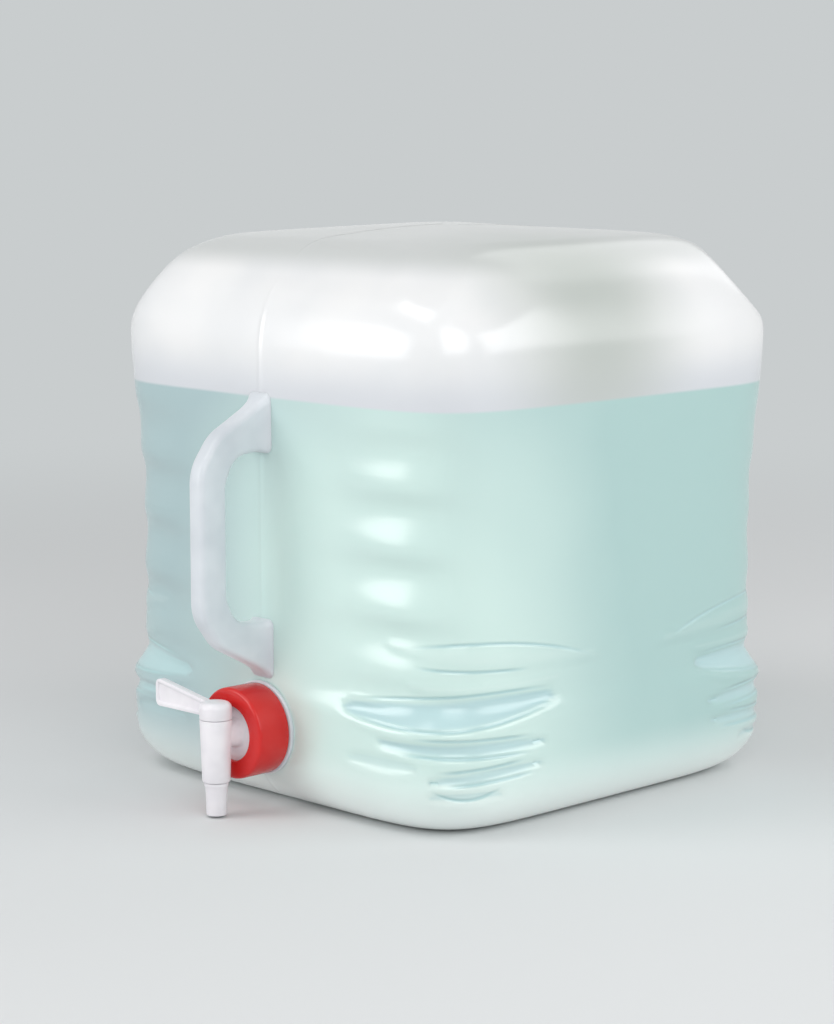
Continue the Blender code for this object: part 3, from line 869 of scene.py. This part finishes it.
@dataclass
class Bag:
    """The bag's skin: a soft cube, drawn in at its waist, with folds moulded in its corners."""

    datum: Datum
    shoulder: float = 48 * MM
    base: float = 28 * MM
    dome: float = 10 * MM
    plan_power: float = 6.5
    cells: tuple[int, int] = (10, 12)
    column_crowding: float = 1.33
    row_crowding: float = 0.4
    seam_half_width: float = 0.9 * MM
    seam_height: float = 0.25 * MM
    waist: tuple[float, float, float, float] = (56 * MM, 70 * MM, 140 * MM, 245 * MM)
    waist_corner: float = 6.0 * MM
    waist_reach: float = 60 * MM
    base_fade: float = 12 * MM
    rib_pitch: float = 31 * MM
    rib_crest: float = 80 * MM
    rib_top: float = 215 * MM
    rib_depth: float = 3.4 * MM
    rib_lean: float = 0.62
    rib_shift: float = -24 * MM
    rib_reach: float = 26 * MM
    # The shares of the ribbed height over which the ribs start and run out
    rib_fade: Span = (0.1, 0.25)
    # Three slow waves along x, y and z with their phases, in radians per height of the bag
    swells: tuple[tuple[float, float, float, float], ...] = (
        (7.1, 0, 3.3, 0.4),
        (0, 6.3, -4.1, 1.1),
        (13.7, -5.2, 8.9, 0),
    )
    swell_depth: float = 0.4 * MM
    swell_mean: float = 1.2
    third_swell: float = 0.6
    swell_start: float = 0.12
    calm_reach: float = 36 * MM
    bulge_limit: float = 2 * MM
    smooth_deg: float = 60
    pockets: tuple[CornerPocket, ...] = (
        CornerPocket(89.5 * MM, 7 * MM, 58 * MM, -0.8 * MM, shift=22 * MM, slant=-0.1),
        CornerPocket(75 * MM, 3.6 * MM, 42 * MM, -0.8 * MM, shift=18 * MM),
        CornerPocket(62.5 * MM, 9 * MM, 56 * MM, 2.8 * MM, shift=2 * MM, slant=0.05, arch=1.5 * MM),
        CornerPocket(46 * MM, 5.4 * MM, 44 * MM, 1.9 * MM, shift=8 * MM, slant=-0.02),
        CornerPocket(37 * MM, 5 * MM, 18 * MM, 0.9 * MM, shift=-32 * MM),
        CornerPocket(32.5 * MM, 4.2 * MM, 30 * MM, 1.6 * MM, shift=20 * MM, slant=0.07),
        CornerPocket(23 * MM, 3.6 * MM, 20 * MM, 1.2 * MM, shift=10 * MM),
    )
    flats: tuple[Flat, ...] = (
        Flat(135, 42, 5.5 * MM, softness=0.7 * MM),
        Flat(2, 47, 2.4 * MM, softness=0.5 * MM),
        Flat(30, 55, 3.6 * MM, softness=0.4 * MM),
        Flat(74, 38, 2.4 * MM),
        Flat(-128, 44, 4 * MM),
        Flat(-52, 38, 2.5 * MM),
        Flat(196, 50, 2.6 * MM),
        Flat(35, 76, 1.2 * MM),
    )

    def build(self) -> None:
        """Model the skin from a cube and dress it."""
        skin = self.blank()
        mesh = skin.data
        cube = np.empty(len(mesh.vertices) * 3)
        mesh.vertices.foreach_get("co", cube)
        places, folds = self.relief(cube.reshape(-1, 3))
        mesh.vertices.foreach_set("co", places.ravel())
        mesh.attributes.new(FOLD_DEPTH, "FLOAT", "POINT").data.foreach_set("value", folds / FOLD_UNIT)
        mesh.update()
        nodes = ("bag_front_panel", "bag_side_wall", "bag_rear_panel")
        hand_over(skin, FILM, None, Slot.FILM, *nodes, smooth_deg=self.smooth_deg)
        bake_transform(skin)

    def blank(self) -> Object:
        """Make a finely divided cube, two units wide, with extra cuts beside the mould's seam.

        Returns:
            The cube.
        """
        bpy.ops.mesh.primitive_cube_add(size=2, location=(0, 0, 0))
        skin = bpy.context.object
        skin.name = "bag_skin"
        seam = self.seam_half_width / self.datum.half_width * math.sin(self.column_crowding)
        cut = math.asin(seam) / self.column_crowding
        with editing(skin):
            for cells in self.cells:
                select_whole()
                bpy.ops.mesh.subdivide(number_cuts=cells - 1)
            for side in (-1, 1):
                select_whole()
                bpy.ops.mesh.bisect(plane_co=(side * cut, 0, 0), plane_no=(1, 0, 0))
        return skin

    def relief(self, cube: np.ndarray) -> tuple[np.ndarray, np.ndarray]:
        """Lay the cube's points out on the bag and work the folds into it.

        Args:
            cube: points on a cube two units wide.

        Returns:
            The points on the bag, and how deep the fold is at each of them.
        """
        places, normals = self.layout(cube)
        along = (np.abs(places[:, 0]) - np.abs(places[:, 1])) / math.sqrt(2)
        height = places[:, 2]
        folds = sum(pocket.press(height, along) for pocket in self.pockets)
        inward = self.drawn_in(height, along) + self.ribs(height, along) + folds
        inward += self.unevenness(places)
        inward -= self.seam_height * (np.abs(places[:, 0]) < self.seam_half_width / 2)
        inward *= np.where(height < self.base, smooth(height / self.base_fade), 1)
        places = places - normals * np.clip(inward, -self.bulge_limit, None)[:, None]
        for flat in self.flats:
            places = flat.press(places)
        return places, folds

    def layout(self, cube: np.ndarray) -> tuple[np.ndarray, np.ndarray]:
        """Map a cube's surface onto the smooth bag, with a round base and shoulder.

        The plan is a rounded square. The columns are crowded towards the upright corners and the
        rows towards the base, where the fine folds are.

        Args:
            cube: points on a cube two units wide.

        Returns:
            The places and the outward normals.
        """
        power, half_x = self.plan_power, self.datum.half_width
        half_y = (self.datum.rear_y - self.datum.face_y) / 2
        flat_places = np.sin(cube[:, :2] * self.column_crowding) / math.sin(self.column_crowding)
        share = (cube[:, 2] + 1) / 2
        share = share * (1 - self.row_crowding * (1 - share))
        reach = np.abs(flat_places).max(axis=1)
        rim = flat_places / np.maximum(reach, TINY)[:, None]
        rim[reach < TINY] = (1, 0)
        unit = rim / (np.abs(rim) ** power).sum(axis=1)[:, None] ** (1 / power)
        wall = self.datum.height - self.dome - self.shoulder - self.base
        base_run, shoulder_run = self.base * QUARTER_TURN, self.shoulder * QUARTER_TURN
        run = share * (base_run + wall + shoulder_run)
        low = np.clip(run / self.base, 0, QUARTER_TURN)
        high = np.clip((run - base_run - wall) / self.shoulder, 0, QUARTER_TURN)
        inset = self.base * (1 - np.sin(low)) + self.shoulder * (1 - np.cos(high))
        height = self.base * (1 - np.cos(low)) + np.clip(run - base_run, 0, wall)
        height += self.shoulder * np.sin(high)
        flat = reach < 1 - SLIGHT
        halves = np.stack([half_x - inset, half_y - inset], axis=1)
        halves[flat] *= reach[flat][:, None]
        spread = 1 - halves[:, 0] / half_x
        height += np.where(cube[:, 2] > 0, self.dome * (1 - (1 - spread) ** 2) * (high > 0), 0)
        places = np.concatenate([unit * halves, height[:, None]], axis=1)
        plan = np.sign(unit) * np.abs(unit) ** (power - 1)
        plan /= np.linalg.norm(plan, axis=1)[:, None]
        lean = np.where(high > 0, high, low - QUARTER_TURN)
        normals = np.concatenate([plan * np.cos(lean)[:, None], np.sin(lean)[:, None]], axis=1)
        return places, normals

    def drawn_in(self, height: np.ndarray, along: np.ndarray) -> np.ndarray:
        """Return how far the bag is drawn in between its full foot and its full shoulder."""
        start, full, fade, end = self.waist
        bell = smooth((height - start) / (full - start)) * (1 - smooth((height - fade) / (end - fade)))
        return bell * self.waist_corner * np.exp(-((along / self.waist_reach) ** 2))

    def ribs(self, height: np.ndarray, along: np.ndarray) -> np.ndarray:
        """Draw shallow valleys in between the bulges, whose upper slopes are the longer ones.

        Args:
            height: each point's height.
            along: how far each point is round the corner from its middle.

        Returns:
            How far each point is pressed in.
        """
        low = self.rib_crest - self.rib_pitch / 2
        share = np.clip((height - low) / (self.rib_top - low), 0, 1)
        begin, finish = self.rib_fade
        envelope = np.clip(share / begin, 0, 1) * np.clip((1 - share) / finish, 0, 1)
        window = np.exp(-(((along - self.rib_shift) / self.rib_reach) ** 2))
        turn = ((height - self.rib_crest) / self.rib_pitch) % 1
        rising = turn / (2 * self.rib_lean)
        falling = 1 - (1 - turn) / (2 * (1 - self.rib_lean))
        wave = (1 - np.cos(FULL_TURN * np.where(turn < self.rib_lean, rising, falling))) / 2
        return self.rib_depth * envelope * window * wave

    def unevenness(self, places: np.ndarray) -> np.ndarray:
        """Return the slow swells of a soft film, which is stiff round the handle and the neck.

        Args:
            places: the skin's points.

        Returns:
            How far each point is pressed in.
        """
        x, y, z = (places / self.datum.height).T
        first, second, third = (np.sin(a * x + b * y + c * z + phase) for a, b, c, phase in self.swells)
        swell = first * second + self.third_swell * third + self.swell_mean
        roots = np.exp(-((places[:, 0] / self.calm_reach) ** 2)) * (places[:, 1] < 0)
        return self.swell_depth * swell * np.clip(z / self.swell_start, 0, 1) * (1 - roots)


@dataclass(frozen=True)
class Thread:
    """A right-hand screw thread."""

    pitch: float = 4 * MM
    turns: float = 2.0
    height: float = 1.5 * MM
    base: float = 1.9 * MM
    crest: float = 0.9 * MM
    burial: float = 0.4 * MM
    neck_start: float = 4.8 * MM
    # The share of a turn over which each end runs out, and what is left of the ridge there
    run_out: float = 0.125
    end_share: float = 0.02

    def ridge(self, name: str, spindle: Spindle, wall: float, crest: float, start: float) -> Object:
        """Make the thread's ridge with the Screw modifier, thinned out towards its ends.

        Args:
            name: the object's name.
            spindle: the axis.
            wall: the radius of the wall that carries the ridge.
            crest: the radius of the ridge's crest.
            start: where the ridge starts along the axis.

        Returns:
            The ridge, a closed shape whose root is buried in the wall.
        """
        buried = wall - math.copysign(self.burial, crest - wall)
        section = [
            (buried, -self.base / 2),
            (crest, -self.crest / 2),
            (crest, self.crest / 2),
            (buried, self.base / 2),
        ]
        chain = [spindle.place(radius, start + along) for radius, along in [*section, section[0]]]
        item = wire(name, chain)
        carrier = put(f"{name}_axis")
        carrier.location = spindle.origin
        face_along(carrier, spindle.direction)
        bpy.context.view_layer.update()
        modify(
            item,
            "SCREW",
            object=carrier,
            angle=FULL_TURN * self.turns,
            screw_offset=self.pitch * self.turns,
            steps=int(Round.LARGE.value * self.turns),
        )
        bpy.data.objects.remove(carrier, do_unlink=True)
        last = len(item.data.vertices) // len(section) - 1
        fade = Round.LARGE.value * self.run_out
        for index, vertex in enumerate(item.data.vertices):
            step = index // len(section)
            share = max(self.end_share, min(1, step / fade, (last - step) / fade))
            offset = vertex.co - spindle.origin
            along = offset.dot(spindle.direction)
            spoke = offset - spindle.direction * along
            radius = buried + (spoke.length - buried) * share
            vertex.co = spindle.place(0, along) + spoke.normalized() * radius
        with editing(item, outward=True):
            bpy.ops.mesh.select_mode(type="EDGE")
            bpy.ops.mesh.select_non_manifold()
            bpy.ops.mesh.edge_face_add()
        return item


@dataclass
class Neck:
    """The threaded filler neck, moulded in one with the bag."""

    spindle: Spindle
    thread: Thread
    radius: float = 18.4 * MM
    bore: float = 16.6 * MM
    length: float = 14.5 * MM
    insert: float = 2.5 * MM
    collar: float = 24.2 * MM
    collar_back: float = 0.1 * MM
    collar_front: float = 1.9 * MM

    def build(self) -> None:
        """Spin the neck with its collar and add the thread."""
        corners = [
            (self.bore, -self.insert, 0),
            (self.radius, -self.insert, 0),
            (self.radius, self.collar_back, 0),
            (self.collar, self.collar_back, 0),
            (self.collar, self.collar_front, 0.7 * MM),
            (self.radius, self.collar_front, 0.4 * MM),
            (self.radius, self.length, 0.5 * MM),
            (self.bore, self.length, 0.5 * MM),
        ]
        neck = spun("neck_moulding", self.spindle, corners, Round.LARGE)
        crest = self.radius + self.thread.height
        start = self.thread.neck_start
        ridge = self.thread.ridge("neck_thread", self.spindle, self.radius, crest, start)
        combine(neck, ridge, "UNION")
        hand_over(neck, SOLID_PE, Body.FRONT, Slot.FILM, "filler_neck")


@dataclass
class CarryHandle:
    """The solid C-shaped handle that stands in the mould's parting plane."""

    datum: Datum
    edge_round: float = 3.2 * MM
    strap: float = 17 * MM
    root: float = 25 * MM
    arm_rise: float = 33 * MM
    outer_bend: float = 24 * MM
    inner_bend: float = 14 * MM
    sink: float = 1.2 * MM
    flare: float = 3 * MM
    flare_run: float = 4 * MM
    # Where the outer and the inner outline bend, as shares of how far out they reach
    outer_start: float = 0.72
    inner_start: float = 0.78
    # The flare's rings of points and its end, in units of its run
    flare_cuts: tuple[float, ...] = (0.1, 0.25, 0.45, 0.7, 1.0, 1.5, 2.2)
    flare_end: float = 3
    # Within this of the middle plane the flare doesn't widen the strap
    flare_core: float = 2 * MM

    def build(self) -> None:
        """Model the handle from its outline, round its rims and flare its roots."""
        low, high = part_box("carry_handle")
        face = self.datum.face_y
        reach = face - low.y
        foot, top = low.z, high.z
        bend = self.outer_start * reach
        inner = reach - self.strap
        inner_bend = self.inner_start * inner
        rise, root = self.arm_rise, self.root
        outer_side = [
            (-self.sink, 0, 0),
            (bend, rise / 2, self.outer_bend),
            (reach, rise, self.outer_bend),
        ]
        inner_side = [
            (inner, root + rise / 2, self.inner_bend),
            (inner_bend, (rise + root) / 2, self.inner_bend),
            (-self.sink, root, 0),
        ]
        corners = [(out, top - down, curve) for out, down, curve in outer_side]
        upwards = [*reversed(outer_side), *reversed(inner_side)]
        corners += [(out, foot + up, curve) for out, up, curve in upwards]
        corners += [(out, top - down, curve) for out, down, curve in inner_side]
        width = high.x - low.x
        outline = [Vector((-width / 2, face - out, up)) for out, up in fillet(corners)]
        handle = slab("grip_moulding", outline, Vector((width, 0, 0)))

        def is_rim(edge: Any) -> bool:
            first, second = (end.co for end in edge.verts)
            flat = abs(first.x - second.x) < width / 2
            return flat and min(first.y, second.y) < face + self.sink / 2

        with editing(handle, outward=True):
            pick("EDGE", is_rim)
            bpy.ops.mesh.bevel(offset=self.edge_round, segments=5, clamp_overlap=True)
            for share in self.flare_cuts:
                select_whole()
                cut = (0, face - share * self.flare_run, 0)
                bpy.ops.mesh.bisect(plane_co=cut, plane_no=(0, 1, 0))
        self.flare_roots(handle)
        hand_over(handle, SOLID_PE, Body.FRONT, Slot.HANDLE, "carry_handle")

    def flare_roots(self, handle: Object) -> None:
        """Widen both roots where they run out into the bag's face.

        Args:
            handle: the handle's mesh, already rounded.
        """
        low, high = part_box("carry_handle")
        middles = (low.z + self.root / 2, high.z - self.root / 2)
        for vertex in handle.data.vertices:
            out = max(0.0, self.datum.face_y - vertex.co.y)
            near = out < self.flare_end * self.flare_run
            grow = self.flare * math.exp(-out / self.flare_run) if near else 0.0
            middle = min(middles, key=lambda height: abs(height - vertex.co.z))
            share = min(1, abs(vertex.co.x) / self.flare_core)
            vertex.co.x += math.copysign(grow * share, vertex.co.x)
            vertex.co.z += grow * max(-1, min(1, (vertex.co.z - middle) / (self.root / 2)))


@dataclass
class CapRing:
    """The red nut that holds the tap on the neck."""

    spindle: Spindle
    thread: Thread
    start: float = 2.2 * MM
    front: float = 21.2 * MM
    radius: float = 23.3 * MM
    bore: float = 20.4 * MM
    lip: float = 2.3 * MM
    opening: float = 14 * MM
    front_round: float = 1.7 * MM
    rear_round: float = 0.7 * MM

    def build(self) -> None:
        """Spin the ring and add the thread inside it."""
        corners = [
            (self.bore, self.start, 0.3 * MM),
            (self.radius, self.start, self.rear_round),
            (self.radius, self.front, self.front_round),
            (self.opening, self.front, 0.6 * MM),
            (self.opening, self.front - self.lip, 0.2 * MM),
            (self.bore, self.front - self.lip, 0),
        ]
        ring = spun("screw_ring", self.spindle, corners, Round.LARGE)
        crest = self.bore - self.thread.height
        start = self.thread.neck_start + self.thread.pitch / 2
        combine(ring, self.thread.ridge("ring_thread", self.spindle, self.bore, crest, start), "UNION")
        hand_over(ring, RED_PP, Body.CAP, Slot.RED, "cap_ring")


@dataclass
class Tap:
    """The tap: flange, boss and barrel in one moulding, and the plug that turns in the barrel."""

    spindle: Spindle
    valve: Spindle
    flange_start: float = 16.6 * MM
    flange: float = 2 * MM
    flange_radius: float = 18.4 * MM
    plug_radius: float = 14.6 * MM
    plug_depth: float = 6 * MM
    boss_radius: float = 6.8 * MM
    inlet: float = 3.6 * MM
    barrel_offset: float = 30.8 * MM
    barrel_top: float = 8.2 * MM
    barrel_foot: float = 7.1 * MM
    barrel_rise: float = 9 * MM
    barrel_drop: float = 23 * MM
    barrel_bore: float = 5.9 * MM
    washer_start: float = 14.8 * MM
    washer: float = 1.5 * MM
    washer_bore: float = 15 * MM
    overrun: float = 6 * MM

    def build_body(self) -> None:
        """Spin the flange and the barrel, join them and bore them."""
        front = self.flange_start + self.flange
        corners = [
            (0, self.flange_start - self.plug_depth, 0),
            (self.plug_radius, self.flange_start - self.plug_depth, 0.6 * MM),
            (self.plug_radius, self.flange_start, 0.2 * MM),
            (self.flange_radius, self.flange_start, 0.3 * MM),
            (self.flange_radius, front, 0.4 * MM),
            (self.boss_radius, front, 1.4 * MM),
            (self.boss_radius, self.barrel_offset, 0),
            (0, self.barrel_offset, 0),
        ]
        body = spun("tap_moulding", self.spindle, corners, Round.LARGE)
        barrel_corners = [
            (0, -self.barrel_drop, 0),
            (self.barrel_foot, -self.barrel_drop, 0.9 * MM),
            (self.barrel_top, self.barrel_rise, 0.3 * MM),
            (0, self.barrel_rise, 0),
        ]
        combine(body, spun("barrel", self.valve, barrel_corners, Round.SMALL), "UNION")
        low, high = -self.barrel_drop - self.overrun, self.barrel_rise + self.overrun
        combine(body, rod("shaft_bore", self.valve, self.barrel_bore, low, high), "DIFFERENCE")
        rear = self.flange_start - self.plug_depth - self.overrun
        combine(body, rod("inlet", self.spindle, self.inlet, rear, self.barrel_offset), "DIFFERENCE")
        hand_over(body, WHITE_PE, Body.SPIGOT, Slot.WHITE, "tap_body")

    def build_washer(self) -> None:
        """Spin the flat washer between the neck and the flange."""
        end = self.washer_start + self.washer
        corners = [
            (self.washer_bore, self.washer_start, 0.2 * MM),
            (self.flange_radius, self.washer_start, 0.2 * MM),
            (self.flange_radius, end, 0.2 * MM),
            (self.washer_bore, end, 0.2 * MM),
        ]
        washer = spun("flat_washer", self.spindle, corners, Round.LARGE)
        hand_over(washer, RUBBER, Body.SPIGOT, Slot.RUBBER, "sealing_washer")


@dataclass
class ValvePlug:
    """The plug: spout, shaft, domed hub and lever in one moulding."""

    valve: Spindle
    shaft: float = 5.6 * MM
    spout: float = 5.1 * MM
    spout_drop: float = 40 * MM
    spout_bore: float = 3.5 * MM
    port: float = 3.2 * MM
    bead: float = 0.5 * MM
    bead_height: float = 1.4 * MM
    bead_top: float = -23.3 * MM
    hub_base: float = 9.3 * MM
    hub_radius: float = 8.2 * MM
    hub_height: float = 8.6 * MM
    hub_round: float = 3.2 * MM
    lever_length: float = 45 * MM
    lever_thickness: float = 4 * MM
    tip_height: float = 14.6 * MM
    root_height: float = 7.8 * MM
    tip_corner: float = 3 * MM
    rim: float = 1.7 * MM
    recess: float = 0.9 * MM
    # A face looks sideways where its normal's sideways share is more than this
    facing: float = 0.9
    edge_break: float = 0.35 * MM
    edge_break_deg: float = 40
    overrun: float = 6 * MM

    def build(self) -> None:
        """Spin the plug, join the lever and bore the spout and the side port."""
        hub_top = self.hub_base + self.hub_height
        bead = self.shaft + self.bead
        corners = [
            (0, -self.spout_drop, 0),
            (self.spout, -self.spout_drop, 0.5 * MM),
            (self.shaft, self.bead_top - 2 * self.bead_height, 0),
            (bead, self.bead_top - self.bead_height, 0.2 * MM),
            (bead, self.bead_top, 0.2 * MM),
            (self.shaft, self.bead_top, 0),
            (self.shaft, self.hub_base, 0),
            (self.hub_radius, self.hub_base, 0.3 * MM),
            (self.hub_radius, hub_top, self.hub_round),
            (0, hub_top, 0),
        ]
        plug = spun("plug_moulding", self.valve, corners, Round.SMALL)
        combine(plug, self.lever(), "UNION")
        low = -self.spout_drop - self.overrun
        combine(plug, rod("spout_bore", self.valve, self.spout_bore, low, self.port), "DIFFERENCE")
        side = Spindle(self.valve.origin, Vector((1, 0, 0)), Vector((0, 0, 1)))
        combine(plug, rod("side_port", side, self.port, 0, self.shaft + self.overrun), "DIFFERENCE")
        hand_over(plug, WHITE_PE, Body.VALVE, Slot.WHITE, "valve_plug")

    def lever(self) -> Object:
        """Model the lever: a blade that rises to its tip, with a sunk panel in each side.

        Returns:
            The lever, which reaches into the hub.
        """
        origin, low, root = self.valve.origin, self.hub_base, self.shaft / 2
        corners = [
            (root, low + 0.4 * MM, 0),
            (self.lever_length, low, self.tip_corner),
            (self.lever_length, low + self.tip_height, self.tip_corner),
            (root, low + self.root_height, 0),
        ]
        half = self.lever_thickness / 2
        outline = [origin + Vector((-out, half, up)) for out, up in fillet(corners)]
        blade = slab("lever", outline, Vector((0, -self.lever_thickness, 0)))
        with editing(blade):
            pick("FACE", lambda face: abs(face.normal.y) > self.facing)
            bpy.ops.mesh.inset(thickness=self.rim)
            bpy.ops.mesh.inset(thickness=self.recess / 2, depth=-self.recess)
        limit = {"limit_method": "ANGLE", "angle_limit": math.radians(self.edge_break_deg)}
        modify(blade, "BEVEL", width=self.edge_break, segments=3, **limit)
        return blade


@dataclass(frozen=True)
class SoftBox:
    """One rectangular soft lamp that looks at the carrier."""

    name: str
    azimuth_deg: float
    elevation_deg: float
    distance: float
    width: float
    height: float
    power: float


@dataclass
class Studio:
    """The stage: a wide pale floor, soft lamps, and the camera."""

    datum: Datum
    camera_azimuth_deg: float = 45.0
    camera_height: float = 355 * MM
    camera_distance: float = 1450 * MM
    aim: Point = (-6 * MM, -16 * MM, 139 * MM)
    lens: float = 96.0
    floor_radius: float = 60.0
    sky_strength: float = 0.46
    lamps: tuple[SoftBox, ...] = (
        SoftBox("key", 58, 26, 1.6, 1.2, 1.0, 8.0),
        SoftBox("window", -27, 13, 1.5, 0.8, 0.66, 5.4),
        SoftBox("shoulder", -14, 54, 1.5, 0.8, 0.5, 3.7),
        SoftBox("right_fill", 118, 22, 1.6, 1.0, 0.9, 6.6),
        SoftBox("rear_fill", -172, 38, 1.9, 1.3, 1.0, 3.5),
    )

    def build(self) -> None:
        """Set the floor, the lamps, the world and the camera."""
        self.floor()
        for lamp in self.lamps:
            self.hang(lamp)
        self.sky()
        self.camera()

    def floor(self) -> None:
        """Extrude a wide disc into a floor of two rings, fine in the middle."""
        bpy.ops.mesh.primitive_circle_add(vertices=96, radius=1.0, fill_type="NGON", location=(0, 0, 0))
        floor = bpy.context.object
        floor.name = "studio_floor"
        with editing(floor):
            pick("EDGE", lambda edge: True)
            bpy.ops.mesh.extrude_region_move()
            stretch = (self.floor_radius, self.floor_radius, 1)
            bpy.ops.transform.resize(value=stretch, center_override=(0, 0, 0))
        floor.data.materials.append(FLOOR_PAINT.build())

    def hang(self, lamp: SoftBox) -> None:
        """Hang one soft box.

        Args:
            lamp: the soft box's place, size and power.
        """
        back = Vector(bearing(lamp.azimuth_deg, lamp.elevation_deg))
        light = bpy.data.lights.new(lamp.name, "AREA")
        light.shape = "RECTANGLE"
        light.size = lamp.width
        light.size_y = lamp.height
        light.energy = lamp.power
        item = put(lamp.name, light)
        item.location = Vector((0, 0, self.datum.height / 2)) + back * lamp.distance
        face_along(item, back)

    def sky(self) -> None:
        """Light the scene evenly, and show a plain pale backdrop beyond the floor."""
        world = bpy.data.worlds.new("studio_sky")
        bpy.context.scene.world = world
        world.use_nodes = True
        net = Net(world.node_tree)
        light = net.tree.nodes["Background"]
        net.fill(light, {"Color": linear("#FFFFFF"), "Strength": self.sky_strength})
        backdrop = net.add("Background", {"Color": linear(FLOOR_PAINT.backdrop)})
        inputs = {0: net.seen_directly(), 1: light.outputs[0], 2: backdrop}
        net.fill(net.tree.nodes["World Output"], {"Surface": net.add("MixShader", inputs)})

    def camera(self) -> None:
        """Set the camera at the photograph's angle, looking at the near upright corner."""
        scene = bpy.context.scene
        scene.view_settings.view_transform = "Standard"
        data = bpy.data.cameras.new("camera")
        data.lens = self.lens
        data.clip_end = 2 * self.floor_radius
        item = put("camera", data)
        item.location = Vector(bearing(self.camera_azimuth_deg, 0)) * self.camera_distance
        item.location.z = self.camera_height
        face_along(item, item.location - Vector(self.aim))
        scene.camera = item


def main() -> None:
    """Build every piece around the frame, then the studio."""
    logging.basicConfig(level=logging.INFO, format="%(name)s: %(message)s")
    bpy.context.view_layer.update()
    datum = Datum.read()
    tap_axis = Spindle(Vector((0, datum.face_y, datum.tap_z)), Vector((0, -1, 0)), Vector((0, 0, 1)))
    valve_axis = Spindle(Vector((0, datum.barrel_y, datum.tap_z)), Vector((0, 0, 1)), Vector((0, 1, 0)))
    thread = Thread()
    Bag(datum).build()
    Neck(tap_axis, thread).build()
    CarryHandle(datum).build()
    CapRing(tap_axis, thread).build()
    tap = Tap(tap_axis, valve_axis)
    tap.build_body()
    tap.build_washer()
    ValvePlug(valve_axis).build()
    Studio(datum).build()


if __name__ == "__main__":
    main()
